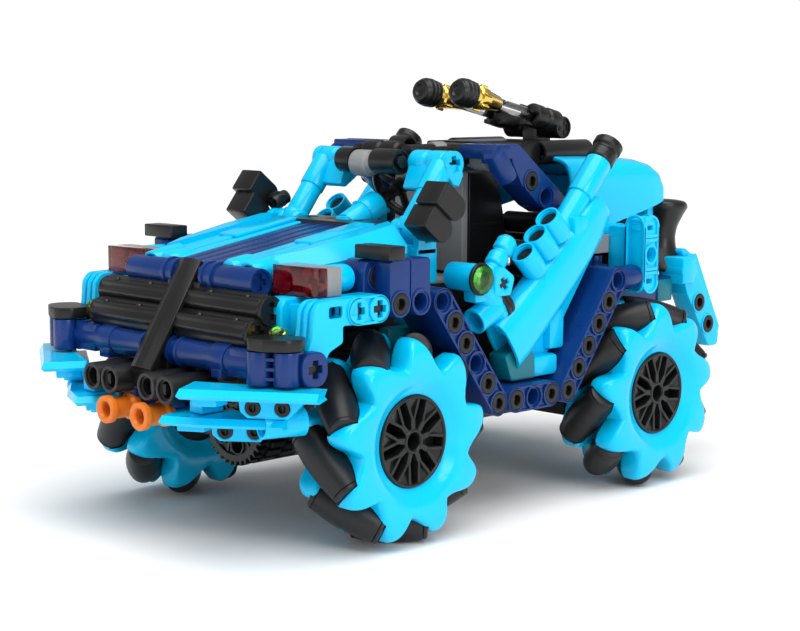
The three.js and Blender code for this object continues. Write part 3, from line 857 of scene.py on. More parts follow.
def build_grille():
    black, orange, navy = Shape(), Shape(), Shape()
    # the centre strip, two flat faces meeting on a ridge
    strip = rounded([(-4.5, 0), (4.5, 0), (4.5, 1.5), (1.6, 2.4), (-1.4, 2.4), (-4.5, 1.5)], 0.3, 3)
    rail = flat(strip, (), 34.3, 0.3)
    tilt = math.degrees(math.atan2(108.2 - 89.4, 78.4 - 48.4))
    black += rail.turned(180, "Z").turned(-tilt, "X").at(0, -97.4, 63.6)
    black += ribbed_log(-91.3, 67.6, 36.2) + ribbed_log(-95.3, 61.6, 35.3)
    black += block(-24, 24, -92, -87.4, 58, 66, 0.5) + block(-7, 7, -92.5, -88, 58, 73, 0.5)
    for side in (1, -1):
        for x in (8.3, 16.4):
            black += tube((side * x, -112.2, 46.2), (side * x, -96.6, 46.2), 3.9, 2.4, 7)
        black += block(side * 12.3 - 3.4, side * 12.3 + 3.4, -111.2, -97, 44.6, 47.8, 0.3)
        flange = [(2.05, 6), (2.05, 0.8), (2.5, 0), (3.9, 0), (3.9, 1.9), (3.0, 2.6), (3.0, 7.4), (3.8, 8.2),
                  (3.8, 10.2), (2.3, 10.2), (2.05, 9.6), (2.05, 6)]
        orange += along(lathe(flange, 36, 0.25), (side * 7.6, -114.4, 38.1), (side * 7.6, -104.4, 38.1))
        navy += rod((side * 7.6, -104.6, 38.1), (side * 7.6, -92, 38.1), 3.2)
        navy += block(side * 8 - 3, side * 8 + 3, -105.6, -100.5, 39.6, 44.6, 0.4)
    black += block(-19.5, 19.5, -106.5, -97, 43.4, 49.4, 0.5) + block(-4, 4, -101.5, -97, 46, 55, 0.4)
    make("grille_black", "black", black, ["grille"])
    make("grille_bushes", "orange", orange)
    make("grille_navy", "navy", navy)


def build_gear():
    """The front gear: a toothed ring on a wide ribbed tread, with rim, spokes and pin holes."""
    teeth = []
    count = 36
    for k in range(count):
        for step, radius in ((0.0, 12.3), (0.22, 12.3), (0.36, 13.55), (0.64, 13.55), (0.78, 12.3)):
            angle = TAU * (k + step) / count
            teeth.append((radius * math.cos(angle), radius * math.sin(angle)))
    holes = [circle(2.4, (7.4 * math.cos(TAU * k / 6 + 0.3), 7.4 * math.sin(TAU * k / 6 + 0.3)), 22)
             for k in range(6)]
    middle = cross()
    shape = flat(teeth, [circle(10.2, sides=48)], 3.0, 0.2).at(z=1.6)
    shape += flat(circle(10.4, sides=48), [*holes, middle], 2.2, 0.1).at(z=2.0)
    for hole in holes:
        centre = Vector((sum(p[0] for p in hole) / len(hole), sum(p[1] for p in hole) / len(hole)))
        ring = flat(circle(3.0, tuple(centre)), [circle(2.4, tuple(centre))], 1.2, 0.1)
        shape += ring.at(z=0.9)
    shape += flat(circle(3.6), [cross()], 1.6, 0.15).at(z=0.9)
    for k in range(6):
        shape += block(3.4, 10.4, -0.45, 0.45, 0.5, 2.4, 0.1, 1).turned(60 * k + 47, "Z")
    # tread behind the toothed ring, with staggered lugs
    shape += lathe([(3, 4.4), (12.2, 4.4), (12.2, 23.0), (10.0, 23.6), (3, 23.6), (3, 4.4)], 48, 0.3)
    for row in range(3):
        for k in range(24):
            angle = 15 * k + 7.5 * (row % 2)
            lug = block(11.8, 13.5, -1.1, 1.1, 5.2 + 6.2 * row, 10.4 + 6.2 * row, 0.25, 1)
            shape += lug.moved(Matrix.Rotation(math.radians(angle), 4, "Z"))
    shape += rod((0, 0, 22), (0, 0, 34.6), 2.3)
    place = Matrix.Translation((0, -74.9, 31.0)) @ Matrix.Rotation(math.radians(-90), 4, "X")
    make("front_gear_teeth", "black", shape.moved(place), ["front_gear"], body="front_gear")


# ---------------------------------------------------------------- hood and lamps

HOOD_FRONT = -90.0
HOOD_RISE = 0.165


def hood_sheared(shape):
    """Slants a level shape so that it climbs toward the cabin."""
    slant = Matrix.Identity(4)
    slant[2][1] = HOOD_RISE
    slant[2][3] = -HOOD_RISE * HOOD_FRONT
    return shape.moved(slant)


def build_hood():
    azure, navy = Shape(), Shape()
    top = 77.6
    for k in range(4):
        x = -7.2 + 4.8 * k
        navy += block(x - 2.3, x + 2.3, -87.5, -37.5, top - 3.2, top, 0.75, 3)
    navy += block(-9.4, 9.4, -86.5, -37.5, top - 3.6, top - 0.7, 0.2)
    for side in (1, -1):
        for low, high, lift in ((9.9, 14.3, 0.2), (14.5, 19.2, 0.55), (19.4, 24.2, 0.2)):
            azure += block(side * low, side * high, -85.2, -38, top - 3.4, top + lift, 0.8, 3)
        azure += block(side * 10, side * 24, -84.5, -38.5, top - 4.2, top - 0.4, 0.2)
        azure += block(side * 12.5, side * 21.0, -62, -37.5, top + 0.1, top + 1.2, 0.5)
    azure = hood_sheared(azure)
    navy = hood_sheared(navy)
    wing_outer = [(24.0, -82.5), (31.5, -75.5), (35.4, -50.0), (34.6, -38.0), (24.0, -35.5)]
    wing_crease = [(24.0, -79.0), (27.0, -72.0), (29.5, -52.0), (29.0, -38.0), (24.0, -35.5)]
    low = [(x, y, 74.0 + 0.11 * (y + 88)) for x, y in wing_outer]
    edge = [(x, y, 76.0 + 0.12 * (y + 88)) for x, y in wing_outer]
    high = [(x, y, 79.4 + 0.165 * (y + 88)) for x, y in wing_crease]
    wing = loft([low, edge, high])
    azure += mirrored(wing)
    for side in (1, -1):
        # rounded noses and the open tube mouths at the front of the azure strips
        azure += tube((side * 21.6, -86.6, 75.6), (side * 21.6, -76.0, 77.4), 3.9, 2.5, 6)
        azure += rod((side * 13.4, -87.2, 76.0), (side * 13.4, -78.0, 77.4), 3.6, bevel=1.6)
        # front cross tubes
        navy += axle_tube((side * 11.0, -87.6, 74.3), (side * 27.8, -87.6, 74.3), 3.9)
        ring = lathe([(0, 0), (4.5, 0), (4.5, 1.3), (3.9, 1.3), (3.9, 3.6), (4.5, 3.6), (4.5, 5.0), (0, 5.0)],
                     36, 0.2)
        navy += along(ring, (side * 6.0, -87.6, 74.3), (side * 11.2, -87.6, 74.3))
        azure += block(side * 10, side * 18, -70, -60, 56.6, 77, 0.5)
    navy += block(-6.2, 6.2, -90.6, -84.4, 71.4, 77.2, 0.6)
    make("hood_azure", "azure", azure, ["hood"], 24)
    make("hood_navy", "navy", navy)


def build_lamps():
    for side, matrix in SIDES:
        red = block(28.2, 46.6, -83.9, -80.7, 71.4, 79.2, 0.25)
        grey = block(28.4, 46.7, -80.6, -75.4, 71.4, 79.2, 0.3)
        studs = Shape()
        for x in (32.6, 40.6):
            for z in (73.4, 77.2):
                studs += rod((x, -80.8, z), (x, -82.2, z), 1.5, bevel=0.1, sides=20)
        holder = rod((40, -75.5, 75.2), (40, -67.4, 75.2), 3.95, bevel=1.1)
        make(f"lamp_red_{side}", "red", red.moved(matrix), [f"lamp_{side}"])
        make(f"lamp_grey_{side}", "grey", (grey + studs).moved(matrix))
        make(f"lamp_holder_{side}", "azure", holder.moved(matrix))


# ---------------------------------------------------------------- cabin

def collared_bar(start, end, radius=3.9, collars=3, sides=32):
    """A bar of short barrels with a groove between each, as on cross blocks."""
    length = span(start, end)
    step = length / collars
    profile = [(0, 0)]
    for k in range(collars):
        low, high = k * step, (k + 1) * step
        profile += [(radius - 0.75, low), (radius - 0.75, low + 0.35), (radius, low + 1.0),
                    (radius, high - 1.0), (radius - 0.75, high - 0.35), (radius - 0.75, high)]
    profile.append((0, length))
    return along(lathe(profile, sides, 0.3), start, end)


ROLL_HOLES = ((15.2, 98.4), (22.4, 93.2))


def build_cabin():
    azure, black, navy, grey = (Shape() for _ in range(4))
    # right windscreen pillar: foot block, tube with a collar, head block with three barrels
    foot, head = (-28.6, 84.6), (-12.4, 104.2)
    azure += rod((25.4, -27.2, 86.2), (25.4, -18.6, 97.2), 3.55)
    azure += rod((25.4, -29.0, 83.6), (25.4, -26.4, 87.2), 4.2, bevel=0.4)
    azure += rod((25.4, -20.2, 95.2), (25.4, -13.6, 103.6), 3.95, bevel=0.3)
    azure += collared_bar((12.4, *head), (27.2, *head), 3.9, 2)
    ear = circle(3.95, head, 18, -0.55, 1.25 * math.pi)
    ear += [(-15.4, 100.6), (-13.0, 98.0), (-10.6, 97.4), (-8.7, 100.6)]
    azure += yz_plate(ear, 26.8, 29.4, [cross(head, turn=0.25)], 0.3)
    azure += yz_plate(circle(3.3, head, 24), 20, 26.9, (), 0.1)
    side = rounded([(-16.0, 104.0), (-10.2, 104.0), (-10.4, 99.4), (-16.2, 95.6), (-19.0, 96.6)], 0.8)
    azure += yz_plate(side, 13.6, 27.2, (), 0.5)
    azure += yz_plate([(-10.5, 104), (-10.8, 97.5), (-12.0, 97.2), (-13.0, 104)], 20, 28.6, (), 0.3)
    # foot of the pillar with its cross hole on the outer side
    azure += collared_bar((20.5, *foot), (31.6, *foot), 4.1, 2)
    face = circle(4.1, foot, 22, -0.35, 1.22 * math.pi)
    face += [(foot[0] - 4.4, 78.6), (foot[0] + 3.4, 78.6)]
    azure += yz_plate(face, 31.4, 33.9, [cross(foot, 2.5, 1.1)], 0.3)
    azure += block(31.0, 33.9, -33.2, -24.6, 70, 80.6, 0.6)
    azure += block(23.4, 31.4, -32.4, -25.4, 57.6, 81.4, 0.6)
    azure = mirrored(azure)
    for y, z, x in ((*head, 27.1), (*foot, 31.4)):
        socket = rod((x - 0.5, y, z), (x + 0.3, y, z), 2.6, bevel=0.05)
        black += mirrored(socket)

    # front roof bar of black tubes with a grey bush between them
    z = 104.4
    black += axle_tube((1.8, -18, z), (12.3, -18, z), 3.9)
    black += tube((-13.2, -18, z), (-7.2, -18, z), 3.9, HOLE, 3)
    black += rod((-13, -18, z), (13, -18, z), 2.0)
    bush = lathe([(0, 0), (3.6, 0), (4.1, 0.6), (4.1, 6.4), (3.2, 6.9), (3.2, 8.9), (0, 8.9)], 32, 0.3)
    grey += along(bush, (-6.9, -18.2, 103.6), (2.0, -18.2, 103.6))
    # second bar behind it, a connector on top, and the long tube that reaches the roll beams
    black += collared_bar((-9, -11.5, 107.0), (6.5, -11.5, 107.0), 3.5, 2)
    black += tube((-1.4, -7.0, 108.6), (5.2, -7.0, 108.6), 3.4, 2.0, 3)
    black += block(-2, 4, -11.5, -4.5, 104.6, 108.4, 0.5)
    for side in (1, -1):
        black += rod((side * 4.0, 6, 105.9), (side * 21.6, 6, 105.9), 3.6, bevel=0.5)
        black += rod((side * 20, 6, 105.9), (side * 24, 6, 105.9), 2.4, 3.0)
        bush = lathe([(0, 0), (3.4, 0), (3.4, 1.8), (4.2, 2.6), (4.2, 7.6), (3.7, 8.2), (0, 8.2)], 32, 0.25)
        grey += along(bush, (side * 19.4, 6, 105.6), (side * 27.6, 6, 105.6))
        black += rod((side * 10.5, -14, 106.2), (side * 10.5, 8, 106.4), 3.3, bevel=0.5)
        grey += rod((side * 10.5, -3, 107.8), (side * 10.5, 2.2, 107.8), 2.4)
        # long roof cylinders beside the deck
        black += tube((side * 18.6, 38, 106.0), (side * 18.6, 62.4, 106.0), 3.9, 2.4, 5)
        black += block(side * 12, side * 19.5, 26, 39, 102.2, 109.2, 0.8)
    black += block(-16.5, 16.5, 24, 60, 102.6, 108.8, 0.6) + block(-14.5, 14.5, 26, 57, 108.6, 109.4, 0.3)
    black += block(-20.4, 20.4, 55.2, 63.8, 102.2, 108.4, 0.8)
    lug = rounded([(55.8, 103), (63.2, 103), (63.2, 117.2), (55.8, 117.2)], [0.5, 0.5, 3.6, 3.6])
    black += yz_plate(lug, -3.1, 3.1, (), 0.3)

    # navy roll beams: a flat head, a broad slanted slab with pin holes below and a round tube beside it
    side_face = rounded([(4.4, 110.0), (9.6, 109.8), (31.6, 93.0), (31.0, 88.2), (24.4, 88.2), (19.6, 90.4),
                         (10.8, 97.4), (6.6, 104)], [0.8, 1.0, 1.0, 1.0, 1.5, 1.5, 2, 1])
    roll = yz_plate(side_face, 26.5, 35.7, [circle(HOLE, spot) for spot in ROLL_HOLES], 0.4)
    ridge = [(4.4, 110.0), (9.6, 109.8), (31.6, 93.0), (30.4, 89.8), (8.6, 105.6), (4.4, 105.6)]
    roll += yz_plate(ridge, 20.4, 26.7, (), 0.4)
    roll += block(20.4, 35.6, -1.0, 9.0, 105.4, 109.8, 0.5)
    roll += rod((34.0, -0.6, 107.8), (34.0, 5.6, 99.2), 3.5, bevel=0.8)
    roll += block(29.6, 35.4, -1.5, 4.5, 104.0, 108.4, 0.7)
    for y, z in ROLL_HOLES:
        roll += ring_at(35.8, y, z, COUNTERBORE, 3.7, 0.5)
    head_pin = pin_at(35.8, *ROLL_HOLES[0])
    black += mirrored(head_pin)
    slant = beam_shape(5, 7.2).moved(side_matrix(33.2, 30.0, 86.6, -80))
    navy = navy + mirrored(roll) + mirrored(slant)
    for side in (1, -1):
        # black side bracket behind the seat, up to the roll beam
        black += block(side * 29.6, side * 36.6, 24.5, 33.5, 58, 84.5, 0.7)
        black += block(side * 20, side * 30, 30.5, 36.5, 62, 84, 0.7)
        black += rod((side * 10, 34, 83.6), (side * 33, 34, 83.6), 3.5)
    black += block(-33, 33, 33.2, 38.8, 57.6, 66, 0.5)

    # dashboard
    black += block(-23.6, 23.6, -33.0, -25.0, 72.2, 81.4, 0.7) + block(-12, 12, -34, -26, 57.5, 73, 0.5)
    black += xy_plate(rounded(rectangle(-20, 20, -38.5, -23.5), 1.5), 84.6, 87.0,
                      [circle(1.6, (x, -30), 16) for x in (-14, -6, 6, 14)], 0.4)
    black += block(-3.4, 3.4, -32.2, -26.4, 80, 86, 0.4)
    for x in (-16, 16):
        black += block(x - 3, x + 3, -31.5, -26, 80.5, 85.2, 0.4)
    # azure steering column: a tube with an open mouth toward the bonnet and a collar
    tilt = Vector((0, -math.cos(math.radians(25)), -math.sin(math.radians(25))))
    centre = Vector((0, -6, 96))
    azure += tube(centre + tilt * 25.5, centre + tilt * 12.0, 3.75, 2.6, 5)
    azure += rod(centre + tilt * 18.0, centre + tilt * 11.2, 4.15)
    azure += block(-2.6, 2.6, -31.5, -27.0, 79.0, 88.0, 0.6)
    grey += rod(centre + tilt * 23.0 + Vector((-3.9, 0, 1)), centre + tilt * 13.0 + Vector((-3.9, 0, 1)), 1.1)
    make("cabin_azure", "azure", azure, ["cabin_frame"])
    make("cabin_black", "black", black)
    make("cabin_navy", "navy", navy)
    make("cabin_grey", "grey", grey)


def build_helm():
    ring = []
    for k in range(14):
        angle = TAU * k / 14
        ring.append((9.5 + 1.5 * math.cos(angle), 1.5 * math.sin(angle)))
    ring.append(ring[0])
    wheel = lathe(ring, 48, 0)
    for k in range(3):
        bar = block(1.2, 9.3, -1.3, 1.3, -0.7, 0.7, 0.4)
        wheel += bar.turned(120 * k + 90, "Z")
    wheel += lathe([(0, -1.8), (2.6, -1.8), (2.6, 1.5), (1.4, 1.9), (1.3, 1.2), (0, 1.2)], 28, 0.2)
    wheel += rod((0, 0, -1), (0, 0, -14), 1.9)
    place = Matrix.Translation((0, -6, 96)) @ Matrix.Rotation(math.radians(25 - 90), 4, "X")
    make("steering_wheel_ring", "black", wheel.moved(place), ["steering_wheel"], body="steering_wheel")


def capsule(front_y, front_z, length, x0, x1, lean=-38.0):
    """A thick block seen from the side: flat in front, round at its far end, leaning down to the rear."""
    outline = rounded(rectangle(0, length, -3.85, 3.85), [0.7, 3.8, 3.8, 0.7], 7)
    return flat(outline, (), x1 - x0, 0.45).moved(side_matrix((x0 + x1) / 2, front_y, front_z, lean))


def build_mirrors():
    """Each mirror: two blocks with round far ends, one above the other, on a stalk."""
    for side, matrix in SIDES:
        head = capsule(-34.4, 97.6, 11.6, 36.2, 45.0) + capsule(-38.0, 91.0, 10.8, 35.0, 43.8)
        stalk = rod((30.9, -27, 91), (38.4, -27.2, 91), 1.9) + rod((33.0, -27, 91), (35.4, -27, 91), 2.9)
        stalk += tube((33.2, -29.6, 90.0), (33.2, -24.0, 92.1), 2.3, 1.4, 2, 0.2)
        body = f"mirror_{side}"
        make(f"mirror_black_{side}", "black", (head + stalk).moved(matrix), [body], body=body)


def build_seat():
    black, grey = Shape(), Shape()
    back = rounded([(9.6, 66), (25, 66), (27, 80), (26.4, 86), (22.5, 100.6), (9.6, 100.6)],
                   [0.5, 1, 6, 6, 3, 1.2], 6)
    for x0, x1 in ((-15, -5.2), (-5.0, 5.0), (5.2, 15)):
        black += yz_plate(back, x0, x1, (), 0.5)
    black += block(-15.2, 15.2, 11, 25.6, 83.6, 84.4, 0.15) + block(-14.6, 14.6, 9.4, 26.4, 84.9, 86.0, 0.2)
    grey += block(-14.8, 14.8, 6.6, 9.5, 69.2, 100.4, 0.5)
    black += block(-15, 15, -8, 25.5, 57.6, 66.6, 0.9)
    grey += block(-14.6, 14.6, -6.8, 9, 66.4, 68.2, 0.5)
    make("seat_black", "black", black, ["seat"])
    make("seat_grey", "grey", grey)


# ---------------------------------------------------------------- roof launcher

def build_launcher():
    black, gold, glass, gem = (Shape() for _ in range(4))
    pitch = math.radians(12.5)
    pivot = Vector((0, 59.5, 113.6))
    ahead = Vector((0, -math.cos(pitch), math.sin(pitch)))

    for side in (1, -1):
        foot = pivot + Vector((8.0 * side, 0, 1.5))
        tip = foot + ahead * 50
        black += along(lathe([(0, 0.5), (4.0, 0.5), (4.0, 5.6), (3.3, 6.3), (3.3, 7.6), (4.0, 8.4),
                              (4.0, 12.4), (3.4, 13.0), (2.4, 13.0), (2.4, 9), (0, 9)], 32, 0.2), foot, tip)
        # spring clip at the tube's end: three fingers
        for k in range(3):
            finger = block(2.3, 3.8, -1.5, 1.5, 12.4, 16.0, 0.4).turned(120 * k + 30, "Z")
            black += along(finger, foot, tip)
        glass += along(lathe([(0, 9.4), (1.95, 9.4), (1.95, 33.5), (0, 33.5)], 24, 0.1), foot, tip)
        gold += along(lathe([(0, 29.4), (2.1, 29.4), (2.5, 30.0), (3.2, 35.6), (3.5, 36.0), (4.0, 40.4),
                             (3.4, 40.9), (3.4, 41.7), (4.1, 42.2), (4.2, 43.2), (0, 43.2)], 12, 0), foot,
                      tip)
        for k in range(6):
            stud = block(3.0, 4.3, -0.55, 0.55, 36.8, 39.8, 0.2, 1).turned(60 * k + 15, "Z")
            gold += along(stud, foot, tip)
        gem += along(block(3.2, 4.3, -0.8, 0.8, 40.5, 42.0, 0.3, 1).turned(90, "Z"), foot, tip)
        black += along(lathe([(0, 43.0), (4.1, 43.0), (4.45, 43.4), (4.45, 44.6), (4.1, 44.9), (4.6, 45.3),
                              (4.6, 46.4), (4.15, 46.8), (4.5, 47.2), (4.3, 48.2), (3.7, 48.9), (3.4, 49.6),
                              (1.9, 49.9), (1.3, 49.2), (0, 49.2)], 36, 0.25), foot, tip)
        black += rod(pivot + Vector((side * 3.7, 0, 0)), pivot + Vector((side * 11.0, 0, 0)), 3.7, bevel=0.3)
        ends = [pivot + Vector((reach, 0, 0)) for reach in sorted((side * 8.0, side * 11.9))]
        black += axle_tube(*ends, 3.7)
    black += block(-8, 8, 45.6, 51.4, 114.6, 119.4, 0.6)
    make("launcher_black", "black", black, ["launcher"], body="launcher")
    make("launcher_gold", "gold", gold, body="launcher")
    make("launcher_rods", "clear", glass, body="launcher")
    make("launcher_gems", "green", gem, body="launcher")


# ---------------------------------------------------------------- cannons

def leaf_ring(centre, across, half_width, out, back, count=28):
    """A ring round a point of the fairing: broad across the leaf, bulging out to the side."""
    ring = []
    for k in range(count):
        angle = TAU * k / count
        c, s = math.cos(angle), math.sin(angle)
        reach = math.copysign(abs(c) ** 0.7, c) * half_width
        bulge = math.copysign(abs(s) ** 0.7, s) * (out if s > 0 else back)
        ring.append(centre + across * reach + Vector((bulge, 0, 0)))
    return ring


def build_cannon():
    azure, black, gem, azure_painted_shade = (Shape() for _ in range(4))
    # the fairing: a hollow leaf from the open mouth at the lower front to the tip at the upper rear
    stations = [  # lower edge (y, z), upper edge (y, z), bulge outward, depth inward
        ((-3.8, 43.4), (-13.2, 57.8), 4.4, 4.4),
        ((1.2, 47.4), (-8.4, 61.6), 4.8, 4.8),
        ((6.6, 52.4), (-2.2, 66.6), 5.0, 5.0),
        ((12.2, 57.4), (4.2, 71.8), 5.0, 5.0),
        ((18.2, 62.8), (10.2, 76.4), 4.8, 5.0),
        ((24.0, 68.2), (16.0, 81.0), 4.6, 4.8),
        ((29.8, 73.6), (21.6, 85.4), 4.2, 4.4),
        ((35.0, 79.4), (27.2, 89.8), 3.6, 3.8),
        ((39.0, 84.4), (31.8, 93.2), 2.8, 3.0),
        ((40.4, 87.6), (35.4, 93.4), 1.8, 1.8),
    ]
    outer, inner = [], []
    for (y0, z0), (y1, z1), out, back in stations:
        low, high = Vector((45.6, y0, z0)), Vector((45.6, y1, z1))
        centre, across = (low + high) / 2, (high - low).normalized()
        half = (high - low).length / 2
        outer.append(leaf_ring(centre, across, half, out, back))
        inner.append(leaf_ring(centre, across, half - 0.9, out - 0.9, back - 0.9))
    skin = loft(outer)
    count = len(outer[0])
    hollow = inner[:4]
    # open the mouth: drop the first cap and line the inside
    base = len(skin.points)
    faces = [f for f in skin.faces if f != tuple(reversed(range(count)))]
    points = list(skin.points)
    for ring in hollow:
        points.extend(ring)
    for k in range(count):
        j = (k + 1) % count
        faces.append((k, base + k, base + j, j))
        for level in range(len(hollow) - 1):
            a, b = base + level * count, base + (level + 1) * count
            faces.append((a + k, b + k, b + j, a + j))
    faces.append(tuple(base + (len(hollow) - 1) * count + k for k in range(count)))
    azure += Shape(points, [tuple(reversed(f)) for f in faces])
    # bracing inside the mouth: a round sleeve and crossed plates
    axis = Vector((0, 0.70, 0.714))
    mouth = Vector((45.6, -6.4, 52.0))
    sleeve = mouth + Vector((0, -2.4, 3.4))
    azure += tube(sleeve, sleeve + axis * 8, 2.6, 1.6, None, 0.2, 20)
    for turn in (-38, 32):
        plate = block(-5.0, 5.0, -0.4, 0.4, 1.2, 12, 0.1, 1).turned(turn + 90, "Z")
        azure += along(plate, mouth, mouth + axis * 10)
    # the long tube over it, with a collar and a black ribbed end
    lower, upper = Vector((43.6, 20.5, 84.6)), Vector((43.6, 39.6, 105.4))
    run = (upper - lower).normalized()
    azure += rod(lower - run * 10, lower + run * 13.5, 3.7, sides=36)
    azure += rod(lower + run * 12.4, lower + run * 26.2, 4.2, bevel=0.4, sides=36)
    azure += block(42.0, 49.4, 20, 27, 80, 88, 1.2)
    ring = lathe([(0, 0), (4.2, 0), (4.5, 0.5), (4.5, 3.6), (4.1, 4.1), (4.1, 4.9), (4.75, 5.4), (4.75, 7.6),
                  (4.3, 8.0), (2.6, 8.0), (2.4, 6.6), (0, 6.6)], 36, 0.2)
    black += along(ring, lower + run * 26.1, lower + run * 34)
    # three open tubes rising from the upper edge
    for y, z in ((-0.9, 78.4), (4.6, 83.6), (10.0, 88.4)):
        start = Vector((46.4, y, z))
        azure += tube(start, start + Vector((0, 6.2, -6.2)), 3.85, 2.8, 6, 0.35)
        black += rod(start + Vector((0, 1.1, -1.1)), start + Vector((0, 4.0, -4.0)), 2.65, bevel=0.1)
    # small connectors down to the elbow, with a cross hole
    azure += collared_bar((43.0, -14.0, 70.0), (42.4, -2.6, 82.0), 3.2, 3, 24)
    knuckle = rounded([(-15.4, 66.2), (-8.0, 66.0), (-6.2, 71.6), (-11.5, 75.0), (-15.2, 72.4)], 1.6)
    azure += yz_plate(knuckle, 42.0, 48.4, [cross((-11.0, 69.8), 1.9, 0.75, 0.5)], 0.6)
    black += rod((42.5, -11.0, 69.8), (47.7, -11.0, 69.8), 2.1, bevel=0.05)
    # elbow with the jewel tube across it
    azure += axle_tube((37.2, -21.5, 72.2), (48.6, -21.5, 72.2), 4.15)
    azure += rod((44.0, -20.4, 70.8), (44.6, -8.8, 60.8), 3.9, bevel=0.5)
    azure += block(42.2, 47.4, -22.6, -14.8, 64.8, 70.6, 1.0)
    azure += tube((44.6, -20.2, 59.0), (44.6, -8.8, 63.6), 3.95, 2.7, 6)
    collar = lathe([(2.2, 0), (4.3, 0), (4.5, 0.4), (4.5, 1.3), (4.2, 1.6), (4.5, 1.9), (4.5, 2.8),
                    (4.3, 3.2), (2.2, 3.2), (2.2, 0)], 32, 0.15)
    black += along(collar, (44.8, -10.2, 62.4), (44.9, -7.5, 64.0))
    rim = lathe([(3.7, 0), (4.6, 0), (4.85, 0.3), (4.85, 0.9), (4.6, 1.2), (3.7, 1.2), (3.7, 0)], 40, 0.1)
    black += along(rim, (48.0, -21.8, 72.0), (49.2, -21.8, 72.0))
    black += rod((48.3, -21.8, 72.0), (48.7, -21.8, 72.0), 2.2)
    jewel = lathe([(0, 0), (4.3, 0), (4.5, 0.8), (3.4, 1.9), (1.7, 2.5), (0, 2.5)], 10, 0)
    gem += along(jewel, (48.9, -21.8, 72.0), (51.6, -21.8, 72.0))
    # a broad flat panel between the fairing and the rear arm
    panel = rounded([(40.0, 79.0), (36.0, 85.0), (0.0, 51.0), (3.0, 41.0), (11.0, 40.4)], [1.5, 1.5, 1, 2, 2])
    azure += yz_plate(panel, 40.2, 43.2, (), 0.4)
    # dark teal panels that are painted shade, azure darkened where it lies in shade, and a foot behind it
    azure_painted_shade += yz_plate(rounded([(-30, 60), (-22, 60), (-5.0, 38.8), (-13, 38.8)], 1.0), 38.5, 41.5, (), 0.5)
    azure_painted_shade += yz_plate(rounded([(-9.5, 48), (-6.5, 40), (4.5, 39.9), (4.2, 46), (1, 52)], 1.0), 40.6, 47.6, (),
                     0.6)
    azure += block(38.0, 47.5, 3.4, 15.2, 40.0, 46.4, 1.2) + block(38.5, 46, 13, 20, 47.4, 60, 1.2)
    for side, matrix in SIDES:
        node = f"cannon_{side}"
        for part, material in ((azure, "azure"), (black, "black"), (gem, "green"), (azure_painted_shade, "azure_painted_shade")):
            make(f"{node}_{material}", material, part.moved(matrix), [node] if material == "azure" else ())


# ---------------------------------------------------------------- rear body and chassis

TAIL_HOLES = ((103.8, 53.6), (109.4, 45.6))


